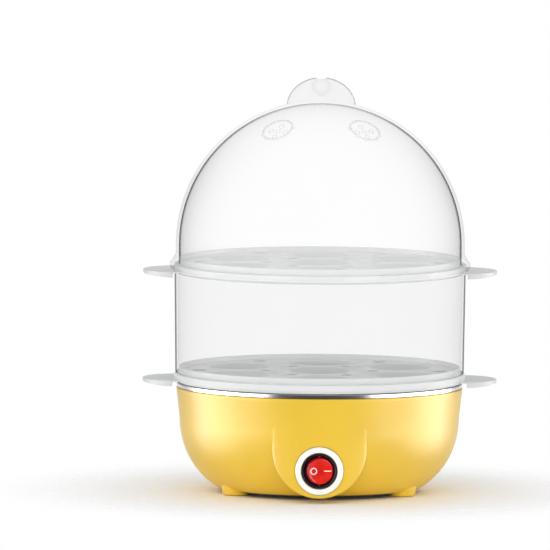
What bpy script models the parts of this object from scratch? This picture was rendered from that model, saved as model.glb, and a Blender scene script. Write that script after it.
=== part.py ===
"""A two-tier electric egg boiler: a moulded base with a switch, a steel pan, two egg
trays, a clear ring and a domed lid. Metres, +Z up, the switch faces -Y. The axis of
all round pieces is Z, and the three feet stand on z = 0."""

from math import asin, atan2, cos, hypot, pi, radians, sin

import bmesh
import bpy
from mathutils import Matrix, Vector

# Shared values
STEPS = 32
FINE_STEPS = 16
SMALL_STEPS = 10
SCREW_STEPS = 8
GAP = 0.0003
OVERRUN = 0.002
MERGE = 0.00001
FRONT = radians(-90)
BACK = radians(90)
THIRD = radians(120)

# The radius that the trays, ring, lid, pan and housing all follow
TRAY_R = 0.0752

# Base housing: a drafted wall that turns in below through part of an ellipse
BODY_SET = 0.0012
BODY_R = TRAY_R - BODY_SET
BODY_TOP = 0.0540
BODY_BOTTOM = 0.0023
BODY_DRAFT = 0.0018
BELLY_MID = 0.0380
BELLY_REACH = 0.0355
BELLY_CORE = BODY_R - BODY_DRAFT - BELLY_REACH
BELLY_SINK = 0.0020
BELLY_DEPTH = BELLY_MID + BELLY_SINK
WALL = 0.0022
LEDGE_SET = 0.0042
LEDGE_R = BODY_R - LEDGE_SET
LEDGE_DEPTH = 0.0025
RECESS_SET = 0.0250
RECESS_R = BODY_R - RECESS_SET
RECESS_DEPTH = 0.0011
FLOOR = 0.0020
OPENING_RIM = 0.0080
OPENING_R = RECESS_R - OPENING_RIM

# The raised U on the front that carries the switch
BOSS_SET = 0.0017
BOSS_R = BODY_R - BOSS_SET
BOSS_HALF = 0.0243
BOSS_BOTTOM = 0.0026
BOSS_TOP = 0.0480
BOSS_DEPTH = 0.0223
BOSS_BACK = BOSS_R - BOSS_DEPTH
BOSS_EDGE = 0.0008
PANEL_MARGIN = 0.00115
PANEL = 0.0025
POCKET_DEPTH = 0.0014
POCKET_FACE = BOSS_R - POCKET_DEPTH

# Feet and the posts inside
FOOT_OUT = 0.0007
FOOT_PLACE_R = RECESS_R + FOOT_OUT
FOOT_R = 0.0066
FOOT_SPREAD = 0.0012
FOOT_CHAMFER = 0.0010
FOOT_RISE = 0.0080
TIE_POST_R = 0.0045
TIE_POST_TOP = 0.0260
COVER_POST_SET = 0.0042
COVER_POST_PLACE_R = RECESS_R - COVER_POST_SET
COVER_POST_R = 0.0032
COVER_POST_TOP = 0.0120

# Rear cable entry
CABLE_Z = 0.0190
CABLE_SET = 0.0075
CABLE_FACE = BODY_R - CABLE_SET
CABLE_PAD_R = 0.0095
CABLE_HOLE_R = 0.0052
GROMMET_FLANGE_R = CABLE_PAD_R - WALL - GAP
GROMMET_FLANGE = 0.0016
GROMMET_WALL = 0.0015
GROMMET_BORE_R = CABLE_HOLE_R - GAP - GROMMET_WALL
GROMMET_NOSE = 0.0045
CLAMP_ANGLE = radians(120)
CLAMP_SPACING = 0.0170
CLAMP_SET = 0.0022
CLAMP_PLACE_R = RECESS_R - CLAMP_SET
CLAMP_POST_R = 0.0026
CLAMP_POST_TOP = 0.0104
CLAMP_BAR = 0.0018
CLAMP_WIDTH = 0.0060

# Screws, by shank radius, head radius and head height
SCREW_CLEARANCE = 0.0003
TIE_SHANK_R = 0.0016
TIE_HEAD_R = 0.0028
TIE_HEAD = 0.0020
TIE_COUNTERBORE = 0.0060
TIE_REACH = 0.0060
SMALL_SHANK_R = 0.0012
SMALL_HEAD_R = 0.0021
SMALL_HEAD = 0.0012
COVER_SHANK_R = 0.0014
COVER_HEAD_R = 0.0027

# Bottom cover
COVER = 0.0018
SPIGOT_CLEARANCE = 0.0004
COVER_SPIGOT_R = OPENING_R - SPIGOT_CLEARANCE
COVER_SPIGOT_WALL = 0.0016
COVER_SPIGOT = 0.0021
VENT_COUNT = 6
VENT_INNER_R = 0.0120
VENT_EDGE = 0.0070
VENT_OUTER_R = COVER_SPIGOT_R - COVER_SPIGOT_WALL - VENT_EDGE
VENT_WIDTH = 0.0026

# Steel pan
PAN_WALL = 0.0006
PAN_FLOOR = 0.0368
PAN_CORNER = 0.0090
PAN_FOOT_SET = 0.0068
PAN_FOOT_R = BODY_R - PAN_FOOT_SET
PAN_TOP_SET = 0.0053
PAN_TOP_R = BODY_R - PAN_TOP_SET
PAN_SHOULDER_RISE = 0.0013
PAN_SHOULDER = BODY_TOP + PAN_SHOULDER_RISE
CROWN_SET = 0.0038
CROWN_R = BODY_R - CROWN_SET
CROWN_RISE = 0.0032
CROWN_TOP = BODY_TOP + CROWN_RISE
PAN_SLOPE_SET = 0.0028
PAN_SLOPE_R = BODY_R - PAN_SLOPE_SET
PAN_SLOPE_RISE = 0.0027
PAN_SLOPE_TOP = BODY_TOP + PAN_SLOPE_RISE
HEM_SET = 0.0002
HEM_R = BODY_R - HEM_SET
HEM_RISE = 0.0009
HEM_TOP = BODY_TOP + HEM_RISE
PILLAR_R = 0.0034
STUD_R = 0.0018
STUD_X = 0.0370
SEAL_TUCK = 0.0002
SEAL_INNER_R = CROWN_R - SEAL_TUCK
SEAL_SET = 0.0016
SEAL_OUTER_R = BODY_R - SEAL_SET
SEAL_LIP = 0.0005
SEAL_HEIGHT = 0.0017

# Heater under the pan
PLATE_R = 0.0340
PLATE = 0.0025
TUBE_R = 0.0033
TUBE_PLACE_R = 0.0270
TUBE_OPENING = radians(60)
TUBE_DROP = 0.0090
TUBE_STEPS = 18
STRAP = 0.0010
STRAP_WIDTH = 0.0200
STRAP_END = 0.0050
STRAP_HALF = STUD_X + STRAP_END
NUT_R = 0.0040
NUT = 0.0029
STUD_TAIL = 0.0017
THERMOSTAT_CAP_R = 0.0078
THERMOSTAT_CAP = 0.0045
THERMOSTAT_STEP = 0.0004
THERMOSTAT_BODY_R = THERMOSTAT_CAP_R - THERMOSTAT_STEP
THERMOSTAT_NECK_SET = 0.0010
THERMOSTAT_NECK_R = THERMOSTAT_CAP_R - THERMOSTAT_NECK_SET
THERMOSTAT_NECK = 0.0033
CAP_CLEARANCE = 0.0005
STRAP_HOLE_R = THERMOSTAT_CAP_R + CAP_CLEARANCE
BLADE_WIDTH = 0.0047
BLADE = 0.0008
BLADE_LENGTH = 0.0066
BLADE_X = 0.0050
BRACKET = 0.0008
BRACKET_WIDTH = 0.0080
BRACKET_SCREW_SET = 0.0032
BRACKET_SCREW_X = STRAP_HOLE_R + BRACKET_SCREW_SET
BRACKET_END = 0.0030
BRACKET_HALF = BRACKET_SCREW_X + BRACKET_END
FUSE_R = 0.0022
FUSE_LENGTH = 0.0190
FUSE_X = 0.0240
CLIP = 0.0005
CLIP_WIDTH = 0.0080
CLIP_WING = 0.0030

# Terminal block and leads
BLOCK_ANGLE = radians(55)
BLOCK_SET = 0.0025
BLOCK_PLACE_R = RECESS_R - BLOCK_SET
BLOCK_LENGTH = 0.0180
BLOCK_DEPTH = 0.0090
BLOCK_HEIGHT = 0.0080
BLOCK_SPACING = 0.0055
BLOCK_TOWER_R = 0.0023
BLOCK_SCREW_R = 0.0015
LEAD_R = 0.0011
LEAD_STUB = 0.0030
LEAD_POINTS = 10

# Switch
SWITCH_Z = 0.0170
BEZEL_R = 0.0091
BEZEL = 0.0022
BEZEL_LIP = 0.0007
BEZEL_LIP_R = BEZEL_R - BEZEL_LIP
BEZEL_SLOPE = 0.0016
BEZEL_OVERHANG = 0.0008
BARREL_R = BEZEL_R - BEZEL_OVERHANG
BARREL_WALL = 0.0008
BARREL_BORE_R = BARREL_R - BARREL_WALL
BARREL_BACK = 0.0015
SWITCH_RING_BORE_R = BEZEL_R + GAP
SWITCH_RING_BAND = 0.00295
SWITCH_RING_R = SWITCH_RING_BORE_R + SWITCH_RING_BAND
SWITCH_RING = 0.0030
SWITCH_RING_ROUND = 0.0010
PANEL_R = SWITCH_RING_R + PANEL_MARGIN
SNAP_WIDTH = 0.0040
SNAP_LENGTH = 0.0030
SNAP_RISE = 0.0007
ROCKER_CLEARANCE = 0.00023
ROCKER_BALL_R = BARREL_BORE_R - ROCKER_CLEARANCE
ROCKER_PIVOT_SET = 0.0002
ROCKER_PIVOT = POCKET_FACE + ROCKER_PIVOT_SET
ROCKER_FACE = 0.0029
ROCKER_DISH = 0.0007
DISH_SHARES = (0, 0.4, 0.8)
ROCKER_REAR = 0.0035
ROCKER_STEM_R = 0.0018
ROCKER_STEM = 0.0065
ROCKER_TILT = radians(12)
PIN_R = 0.0007
PIN_CLEARANCE = 0.0002
PIN_END_CLEARANCE = 0.0004
PIN_HALF = BEZEL_LIP_R - PIN_END_CLEARANCE
LAMP_R = 0.0011
LAMP_LENGTH = 0.0080
LAMP_SET = 0.00347
LAMP_X = ROCKER_BALL_R - LAMP_SET
LAMP_DEPTH = 0.0009
ARM_SET = 0.01025
ARM_PIVOT = ROCKER_PIVOT - ARM_SET
ARM = 0.0005
ARM_HALF = 0.0056
ARM_WIDTH = 0.0030
ARM_TILT = radians(6)
PLUNGER_R = 0.0009
PLUNGER_START = 0.0045
PLUNGER_GAP = 0.00065
PLUNGER_TIP = ARM_SET - PLUNGER_GAP
CONTACT_ROOM = 0.00465
ARM_END = 0.0006
TERMINAL_X = ARM_HALF - ARM_END
TERMINAL_TAIL = 0.0231
TERMINAL_END = ROCKER_PIVOT - TERMINAL_TAIL
TERMINAL_WIDTH = 0.0046
TERMINAL_SET = 0.0004

# Middle ring
RING_WALL = 0.0014
RING_DRAFT = 0.0007
RING_LOW_R = TRAY_R - RING_DRAFT

# Egg trays, each from its seat upwards
SEAT_LOW = CROWN_TOP + GAP
TIER = 0.0562
SEAT_HIGH = SEAT_LOW + TIER
TRAY_FLANGE = 0.0036
NEST_CLEARANCE = 0.0005
RIM_SPIGOT_OUTER_R = TRAY_R - RING_WALL - NEST_CLEARANCE
RIM_SPIGOT_WALL = 0.0012
RIM_SPIGOT_INNER_R = RIM_SPIGOT_OUTER_R - RIM_SPIGOT_WALL
RIM_SPIGOT = 0.0009
COLLAR_R = RING_LOW_R - RING_WALL - NEST_CLEARANCE
COLLAR_WALL = 0.0014
COLLAR_INNER_R = COLLAR_R - COLLAR_WALL
COLLAR_TOP = 0.0070
SEAT_RIB_SET = 0.0006
SEAT_RIB_R = CROWN_R - SEAT_RIB_SET
DECK_TOP = 0.0046
DECK = 0.0014
CUP_EDGE = 0.0272
CUP_PLACE_R = TRAY_R - CUP_EDGE
CUP_COUNT = 6
CUP_STEPS = 12
CUP_MOUTH_R = 0.0165
CUP_FOOT_R = 0.0100
CUP_WALL = 0.0013
CUP_BOTTOM = 0.0015
STEAM_EDGE = 0.0132
STEAM_OUTER_PLACE_R = TRAY_R - STEAM_EDGE
STEAM_OUTER_R = 0.0040
STEAM_INNER_PLACE_R = CUP_PLACE_R / 3**0.5
STEAM_INNER_R = 0.0030
EAR_LENGTH = 0.0163
EAR_REACH = TRAY_R + EAR_LENGTH
EAR_HALF = 0.0215
EAR_BASE = 0.0002
EAR_PLATE = 0.0009
EAR_LIP = 0.0009
EAR_LIP_WALL = 0.0012
EAR_LIP_GAP = 0.0008
EAR_LIP_START_R = TRAY_R + EAR_LIP_GAP

# Domed lid
SHOULDER = SEAT_HIGH + TRAY_FLANGE + GAP
LIP_BORE_R = TRAY_R + GAP
LIP_WALL = 0.0021
LIP_R = LIP_BORE_R + LIP_WALL
LIP_SKIRT = 0.0025
LIP_BEAD = 0.0032
LIP_FLARE = 0.0012
LID_SIDE = 0.0052
DOME_SET = 0.0009
DOME_R = LIP_BORE_R - DOME_SET
DOME_RISE = 0.0100
DOME_MID = SHOULDER + DOME_RISE
DOME_WALL = 0.0016
GRIP_HALF = 0.0178
GRIP_SET = 0.0032
GRIP_MID = DOME_MID + DOME_R - GRIP_SET
GRIP_RISE = 0.0151
GRIP_SINK = 0.0040
GRIP = 0.0040
GRIP_NOTCH_R = 0.0050
GRIP_NOTCH = 0.0012
GRIP_EDGE = 0.0007
SCOOP_R = 0.0120
SCOOP_DEPTH = 0.0011
SCOOP_RISE = 0.0105
STEAM_VENT_TILT = radians(34)
STEAM_VENT_TURN = radians(32.5)
STEAM_VENT_R = 0.0085
STEAM_VENT_RIM = 0.0010
STEAM_VENT_RISE = 0.0002
STEAM_VENT_SINK = 0.0006
STEAM_HOLE_R = 0.0013
STEAM_HOLE_PLACE_R = 0.0042


def clear_scene():
    for obj in list(bpy.data.objects):
        bpy.data.objects.remove(obj, do_unlink=True)


def new_collection(name):
    collection = bpy.data.collections.new(name)
    bpy.context.scene.collection.children.link(collection)
    return collection


def new_material(name, colour, roughness, metallic=0.0, alpha=1.0):
    material = bpy.data.materials.new(name)
    material.use_nodes = True
    shader = material.node_tree.nodes["Principled BSDF"]
    shader.inputs["Base Color"].default_value = (*colour, 1.0)
    shader.inputs["Roughness"].default_value = roughness
    shader.inputs["Metallic"].default_value = metallic
    shader.inputs["Alpha"].default_value = alpha
    return material


def place(obj, helper=False):
    """Puts an object among the parts, or among the cutters where it only shapes them."""
    if helper:
        CUTTERS.objects.link(obj)
        obj.hide_render = True
        obj.display_type = "WIRE"
    else:
        PARTS.objects.link(obj)
    return obj


def from_bmesh(bm, name, helper=False):
    mesh = bpy.data.meshes.new(name)
    bm.to_mesh(mesh)
    bm.free()
    return place(bpy.data.objects.new(name, mesh), helper)


def stand(obj, location=(0, 0, 0), rotation=(0, 0, 0), parent=None):
    """Places an object with the helpers that shape it, in a parent's frame where there is one."""
    obj.location = location
    obj.rotation_euler = rotation
    obj.parent = parent
    for modifier in obj.modifiers:
        if modifier.type == "BOOLEAN":
            stand(modifier.object, location, rotation, parent)
    return obj


def finish(obj, look):
    """Gives a part its material, and rounds its shading."""
    obj.data.materials.clear()
    obj.data.materials.append(new_material(obj.name, *LOOKS[look]))
    if obj.type == "MESH":
        obj.data.shade_smooth()
        obj.data.set_sharp_from_angle(angle=radians(35))
    return obj


def turned(name, profile, steps=STEPS, closed=True, helper=False):
    """Turns a profile of (radius, height) points, which runs down the outer side."""
    bm = bmesh.new()
    verts = [bm.verts.new((r, 0, z)) for r, z in profile]
    pairs = list(zip(verts, verts[1:]))
    if closed:
        pairs.append((verts[-1], verts[0]))
    for a, b in pairs:
        bm.edges.new((a, b))
    obj = from_bmesh(bm, name, helper)
    screw = obj.modifiers.new("Turn", "SCREW")
    screw.steps = steps
    screw.render_steps = steps
    screw.use_merge_vertices = True
    screw.merge_threshold = MERGE
    return obj


def disc_profile(levels):
    """An open profile that starts and ends on the axis, from (radius, height) points."""
    return [(0, levels[0][1]), *levels, (0, levels[-1][1])]


def add_rod(bm, start, end, radius, steps=SMALL_STEPS, end_radius=None, turn=0.0):
    """Adds a cylinder or cone between two points."""
    start, end = Vector(start), Vector(end)
    along = end - start
    swing = along.to_track_quat("Z", "Y").to_matrix().to_4x4()
    matrix = Matrix.Translation((start + end) / 2) @ swing
    bmesh.ops.create_cone(
        bm,
        cap_ends=True,
        segments=steps,
        radius1=radius,
        radius2=radius if end_radius is None else end_radius,
        depth=along.length,
        matrix=matrix @ Matrix.Rotation(turn, 4, "Z"),
    )


def add_box(bm, low, high, matrix=None):
    low, high = Vector(low), Vector(high)
    scale = Matrix.Diagonal((*(high - low), 1))
    box = Matrix.Translation((low + high) / 2) @ scale
    bmesh.ops.create_cube(bm, size=1, matrix=(matrix or Matrix()) @ box)


def rods(name, items, helper=True):
    """One helper made of several rods: each item holds the values of add_rod."""
    bm = bmesh.new()
    for item in items:
        add_rod(bm, *item)
    return from_bmesh(bm, name, helper)


def outlined(name, points, thickness, helper=False, centred=True):
    """A flat outline in X and Y, thickened along Z."""
    bm = bmesh.new()
    face = bm.faces.new([bm.verts.new((x, y, 0)) for x, y in points])
    made = bmesh.ops.extrude_face_region(bm, geom=[face])
    moved = [v for v in made["geom"] if isinstance(v, bmesh.types.BMVert)]
    bmesh.ops.translate(bm, verts=moved, vec=(0, 0, thickness))
    if centred:
        bmesh.ops.translate(bm, verts=bm.verts, vec=(0, 0, -thickness / 2))
    bmesh.ops.recalc_face_normals(bm, faces=bm.faces)
    return from_bmesh(bm, name, helper)


def combine(obj, other, operation="DIFFERENCE"):
    boolean = obj.modifiers.new(other.name, "BOOLEAN")
    boolean.operation = operation
    boolean.object = other
    boolean.solver = "EXACT"
    return obj


def polar(radius, angle, height=0.0):
    return Vector((radius * cos(angle), radius * sin(angle), height))


def arc(centre, radii, start, end, count):
    """Points along part of an ellipse, both ends included."""
    steps = [start + (end - start) * i / count for i in range(count + 1)]
    return [(centre[0] + radii[0] * cos(t), centre[1] + radii[1] * sin(t)) for t in steps]


def foot_angles():
    """Two feet in front and one at the back."""
    return [BACK + i * THIRD for i in range(3)]


def cover_angles():
    return [FRONT + i * THIRD for i in range(3)]


def belly(inset, end, count):
    """The turned-in part of the wall, moved inwards by inset, down to a height."""
    reach, depth = BELLY_REACH - inset, BELLY_DEPTH - inset
    slope = (BODY_R - BELLY_CORE - BELLY_REACH) / (BODY_TOP - BELLY_MID)
    first = -asin(slope * BELLY_DEPTH / hypot(BELLY_REACH, slope * BELLY_DEPTH))
    last = -asin((BELLY_MID - end) / depth)
    return arc((BELLY_CORE, BELLY_MID), (reach, depth), first, last, count)


def boss_prism(name, half, depth, back):
    """The U outline of the switch boss, run from back to front, inside a cylinder."""
    centre = BOSS_BOTTOM + BOSS_HALF
    outline = [(half, BOSS_TOP), *arc((0, centre), (half, half), 0, -pi, 12), (-half, BOSS_TOP)]
    prism = outlined(name, outline, BODY_R - back, helper=True, centred=False)
    prism.data.transform(Matrix.Rotation(radians(90), 4, "X"))
    prism.data.transform(Matrix.Translation((0, -back, 0)))
    levels = [(depth, BOSS_TOP + OVERRUN), (depth, -OVERRUN)]
    combine(prism, turned(name + "_round", disc_profile(levels), closed=False, helper=True), "INTERSECT")
    return prism


def housing_outside():
    levels = [
        (BODY_R, BODY_TOP),
        *belly(0, BODY_BOTTOM, 5),
        (RECESS_R, BODY_BOTTOM),
        (RECESS_R, BODY_BOTTOM + RECESS_DEPTH),
    ]
    return turned("base_housing", disc_profile(levels), closed=False)


def housing_inside():
    """The room inside the housing, with the boss's own hollow behind its panel."""
    floor_top = BODY_BOTTOM + RECESS_DEPTH + FLOOR
    ledge = BODY_TOP - LEDGE_DEPTH
    wall_top = belly(WALL, floor_top, 3)
    levels = [
        (LEDGE_R, BODY_TOP + OVERRUN),
        (LEDGE_R, ledge),
        (BODY_R - WALL, ledge - (BODY_R - WALL - LEDGE_R)),
        *wall_top,
        (OPENING_R, floor_top),
        (OPENING_R, -OVERRUN),
    ]
    inside = turned("housing_room", disc_profile(levels), closed=False, helper=True)
    hollow = boss_prism("boss_room", BOSS_HALF - WALL, BOSS_R - WALL, BOSS_BACK)
    panel_back = POCKET_FACE - PANEL
    panel = rods("panel_pad", [((0, -panel_back, SWITCH_Z), (0, -BODY_R, SWITCH_Z), PANEL_R, FINE_STEPS)])
    combine(hollow, panel)
    combine(inside, hollow, "UNION")
    pad_back = CABLE_FACE - WALL
    room = ((0, BOSS_BACK, CABLE_Z), (0, CABLE_FACE, CABLE_Z), CABLE_PAD_R - WALL, FINE_STEPS)
    combine(inside, rods("cable_room", [room]), "UNION")
    keep = ((0, pad_back, CABLE_Z), (0, BODY_R + OVERRUN, CABLE_Z), CABLE_PAD_R + WALL, FINE_STEPS)
    combine(inside, rods("cable_keep", [keep]))
    return inside


def posts():
    """The posts inside the housing, which start within its floor."""
    low = BODY_BOTTOM + RECESS_DEPTH + FLOOR / 2
    items = []
    for angle in foot_angles():
        post = polar(FOOT_PLACE_R, angle)
        items.append((post + Vector((0, 0, low)), post + Vector((0, 0, TIE_POST_TOP)), TIE_POST_R))
    for angle in cover_angles():
        start = polar(COVER_POST_PLACE_R, angle, low)
        items.append((start, polar(COVER_POST_PLACE_R, angle, COVER_POST_TOP), COVER_POST_R))
    for start in clamp_places(low):
        items.append((start, Vector((start.x, start.y, CLAMP_POST_TOP)), CLAMP_POST_R))
    return rods("posts", items)


def clamp_places(height):
    """The two posts of the cord clamp, side by side along the wall."""
    turn = asin(CLAMP_SPACING / 2 / CLAMP_PLACE_R)
    return [polar(CLAMP_PLACE_R, CLAMP_ANGLE + side * turn, height) for side in (-1, 1)]


def screw_holes():
    """Holes for the tie screws, cover screws and clamp screws, in the housing."""
    items = []
    for angle in foot_angles():
        hole_r = TIE_SHANK_R + SCREW_CLEARANCE
        low, high = polar(FOOT_PLACE_R, angle, -OVERRUN), polar(FOOT_PLACE_R, angle, TIE_COUNTERBORE)
        items.append((low, high, TIE_HEAD_R + SCREW_CLEARANCE))
        tip = polar(FOOT_PLACE_R, angle, TIE_POST_TOP + OVERRUN)
        items.append((high - Vector((0, 0, GAP)), tip, hole_r))
    for angle in cover_angles():
        hole_r = COVER_SHANK_R + SCREW_CLEARANCE
        low = polar(COVER_POST_PLACE_R, angle, BODY_BOTTOM - OVERRUN)
        tip = polar(COVER_POST_PLACE_R, angle, COVER_POST_TOP - OVERRUN)
        items.append((low, tip, hole_r, SCREW_STEPS))
    for top in clamp_places(CLAMP_POST_TOP + OVERRUN):
        start = Vector((top.x, top.y, BODY_BOTTOM + RECESS_DEPTH + FLOOR))
        items.append((start, top, SMALL_SHANK_R + SCREW_CLEARANCE))
    return items


def bore_out(obj, name, items):
    """Cuts rods out of an object, each on its own so that nested bores stay exact."""
    for number, item in enumerate(items):
        combine(obj, rods(f"{name}_{number}", [item]))


def base_housing():
    housing = housing_outside()
    boss = boss_prism("boss", BOSS_HALF, BOSS_R, BOSS_BACK)
    edge = boss.modifiers.new("Edge", "BEVEL")
    edge.width = BOSS_EDGE
    edge.segments = 1
    edge.limit_method = "ANGLE"
    edge.angle_limit = radians(50)
    combine(housing, boss, "UNION")
    for number, angle in enumerate(foot_angles()):
        levels = [
            (FOOT_R + FOOT_SPREAD, FOOT_RISE),
            (FOOT_R, FOOT_CHAMFER),
            (FOOT_R - FOOT_CHAMFER, 0),
        ]
        foot = turned(f"foot_{number}", disc_profile(levels), steps=12, closed=False, helper=True)
        foot.location = polar(FOOT_PLACE_R, angle)
        combine(housing, foot, "UNION")
    back, face = CABLE_FACE - BELLY_REACH / 2, CABLE_FACE
    pad = rods("cable_pad", [((0, back, CABLE_Z), (0, face, CABLE_Z), CABLE_PAD_R, FINE_STEPS)])
    combine(housing, pad, "UNION")
    far = BODY_R + OVERRUN
    recess = rods("cable_recess", [((0, face, CABLE_Z), (0, far, CABLE_Z), CABLE_PAD_R, FINE_STEPS)])
    combine(housing, recess)
    combine(housing, housing_inside())
    combine(housing, posts(), "UNION")
    pocket_r = SWITCH_RING_R + GAP
    front = -(BODY_R + OVERRUN)
    holes = [
        ((0, -POCKET_FACE, SWITCH_Z), (0, front, SWITCH_Z), pocket_r, 28),
        ((0, -POCKET_FACE + PANEL + OVERRUN, SWITCH_Z), (0, front, SWITCH_Z), BARREL_R + GAP, FINE_STEPS),
        ((0, face - WALL - OVERRUN, CABLE_Z), (0, face + OVERRUN, CABLE_Z), CABLE_HOLE_R, FINE_STEPS),
    ]
    bore_out(housing, "housing_hole", holes + screw_holes())
    return finish(housing, "yellow")


def bottom_cover():
    top = BODY_BOTTOM + RECESS_DEPTH - GAP
    low = top - COVER
    rim = RECESS_R - GAP
    levels = [(rim, top), (rim, low + FOOT_CHAMFER / 2), (rim - FOOT_CHAMFER / 2, low)]
    spigot = [
        (COVER_SPIGOT_R - COVER_SPIGOT_WALL, top),
        (COVER_SPIGOT_R - COVER_SPIGOT_WALL, top + COVER_SPIGOT),
        (COVER_SPIGOT_R, top + COVER_SPIGOT),
        (COVER_SPIGOT_R, top),
    ]
    cover = turned("bottom_cover", disc_profile([*spigot, *levels]), steps=24, closed=False)
    bm = bmesh.new()
    for angle in foot_angles():
        reach = polar(FOOT_PLACE_R, angle)
        notch = FOOT_R + FOOT_SPREAD + GAP
        add_rod(bm, reach - Vector((0, 0, OVERRUN)), reach + Vector((0, 0, FOOT_RISE)), notch, 14)
    for i in range(VENT_COUNT):
        slot_low = (VENT_INNER_R, -VENT_WIDTH / 2, -OVERRUN)
        slot_high = (VENT_OUTER_R, VENT_WIDTH / 2, top + OVERRUN)
        add_box(bm, slot_low, slot_high, Matrix.Rotation(2 * pi * (i + 0.5) / VENT_COUNT, 4, "Z"))
    combine(cover, from_bmesh(bm, "cover_cuts", helper=True))
    for number, angle in enumerate(cover_angles()):
        shank_r = COVER_SHANK_R + SCREW_CLEARANCE
        head_r = COVER_HEAD_R + SCREW_CLEARANCE
        levels = [(shank_r, top + OVERRUN), (shank_r, top - GAP), (head_r, low), (head_r, low - OVERRUN)]
        sink = turned(f"sink_{number}", disc_profile(levels), SMALL_STEPS, closed=False, helper=True)
        sink.location = polar(COVER_POST_PLACE_R, angle)
        combine(cover, sink)
    return finish(cover, "dark plastic")


def screw(name, place_at, levels):
    """A screw from (radius, height) levels, standing at a place."""
    obj = turned(name, disc_profile(levels), steps=SCREW_STEPS, closed=False)
    obj.location = place_at
    return finish(obj, "steel")


def screws():
    low = BODY_BOTTOM + RECESS_DEPTH - GAP - COVER
    for number, angle in enumerate(cover_angles(), 1):
        tip = COVER_POST_TOP - OVERRUN - GAP
        levels = [(COVER_SHANK_R, tip), (COVER_SHANK_R, low + COVER - GAP), (COVER_HEAD_R, low)]
        screw(f"cover_screw_{number}", polar(COVER_POST_PLACE_R, angle), levels)
    for number, angle in enumerate(foot_angles(), 1):
        head_top = TIE_COUNTERBORE - GAP
        tip = TIE_POST_TOP + TIE_REACH
        levels = [
            (TIE_SHANK_R, tip),
            (TIE_SHANK_R, head_top),
            (TIE_HEAD_R, head_top),
            (TIE_HEAD_R, head_top - TIE_HEAD),
        ]
        screw(f"tie_screw_{number}", polar(FOOT_PLACE_R, angle), levels)
    bar_top = CLAMP_POST_TOP + GAP + CLAMP_BAR
    for number, at in enumerate(clamp_places(0), 1):
        levels = [
            (SMALL_HEAD_R, bar_top + GAP + SMALL_HEAD),
            (SMALL_HEAD_R, bar_top + GAP),
            (SMALL_SHANK_R, bar_top + GAP),
            (SMALL_SHANK_R, CLAMP_POST_TOP - SMALL_HEAD_R),
        ]
        screw(f"clamp_screw_{number}", at, levels)


def heating_pan():
    """An open profile that runs over the seen side, from the middle to the hem."""
    corner = arc(
        (PAN_FOOT_R - PAN_CORNER, PAN_FLOOR + PAN_CORNER), (PAN_CORNER, PAN_CORNER), -pi / 2, 0, 3
    )
    profile = [
        (0, PAN_FLOOR),
        *corner,
        (PAN_TOP_R, PAN_SHOULDER),
        ((PAN_TOP_R + CROWN_R) / 2, (PAN_SHOULDER + CROWN_TOP) / 2 + PAN_WALL),
        (CROWN_R, CROWN_TOP),
        (PAN_SLOPE_R, PAN_SLOPE_TOP),
        (HEM_R, HEM_TOP),
    ]
    pan = turned("heating_pan", profile, closed=False)
    skin = pan.modifiers.new("Sheet", "SOLIDIFY")
    skin.thickness = PAN_WALL
    skin.offset = -1
    skin.use_even_offset = True
    under = PAN_FLOOR - PAN_WALL / 2
    stud_low = strap_under() - GAP - NUT - STUD_TAIL
    pillar_low = TIE_POST_TOP + GAP
    bore_r = TIE_SHANK_R + SCREW_CLEARANCE
    bore_top = TIE_POST_TOP + TIE_REACH + GAP
    items, bores = [], []
    for side in (-1, 1):
        x = side * STUD_X
        items.append(((x, 0, stud_low), (x, 0, under), STUD_R))
    for angle in foot_angles():
        low = polar(FOOT_PLACE_R, angle, pillar_low)
        items.append((low, polar(FOOT_PLACE_R, angle, under), PILLAR_R))
        bores.append((low - Vector((0, 0, OVERRUN)), polar(FOOT_PLACE_R, angle, bore_top), bore_r))
    combine(pan, rods("pan_studs", items), "UNION")
    combine(pan, rods("pan_bores", bores))
    return finish(pan, "steel")


def pan_seal():
    low = BODY_TOP + GAP
    inner_top = low + SEAL_HEIGHT
    profile = [
        (SEAL_INNER_R, inner_top),
        (SEAL_INNER_R + SEAL_LIP, inner_top),
        (SEAL_OUTER_R, low + SEAL_LIP),
        (SEAL_OUTER_R, low),
        (SEAL_INNER_R, low),
    ]
    return finish(turned("pan_seal", profile), "silicone")


def plate_low():
    return PAN_FLOOR - PAN_WALL - GAP - PLATE


def tube_middle():
    return plate_low() - GAP - TUBE_R


def strap_under():
    return tube_middle() - TUBE_R - GAP - STRAP


def heater_plate():
    top = plate_low() + PLATE
    levels = [(PLATE_R - PAN_WALL, top), (PLATE_R, top - PAN_WALL), (PLATE_R, plate_low())]
    return finish(turned("heater_plate", disc_profile(levels), steps=FINE_STEPS, closed=False), "aluminium")


def tube(name, points, radius, look, sides=1):
    """A round tube along points, as a curve with filled ends."""
    curve = bpy.data.curves.new(name, "CURVE")
    curve.dimensions = "3D"
    curve.bevel_depth = radius
    curve.bevel_resolution = sides
    curve.use_fill_caps = True
    spline = curve.splines.new("POLY")
    spline.points.add(len(points) - 1)
    for point, co in zip(spline.points, points):
        point.co = (*co, 1)
    obj = place(bpy.data.objects.new(name, curve))
    return finish(obj, look)


def tube_end(side):
    """Where an end of the heating tube stops, and the way that it runs there."""
    angle = FRONT + side * TUBE_OPENING / 2
    along = Vector((sin(angle), -cos(angle), 0)) * side
    bend = 2 * TUBE_R
    start = polar(TUBE_PLACE_R, angle, tube_middle())
    turns = [radians(a) for a in (30, 60, 90)]
    curve = [start + along * bend * sin(t) - Vector((0, 0, bend * (1 - cos(t)))) for t in turns]
    return [*curve, curve[-1] - Vector((0, 0, TUBE_DROP - bend))]


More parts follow.
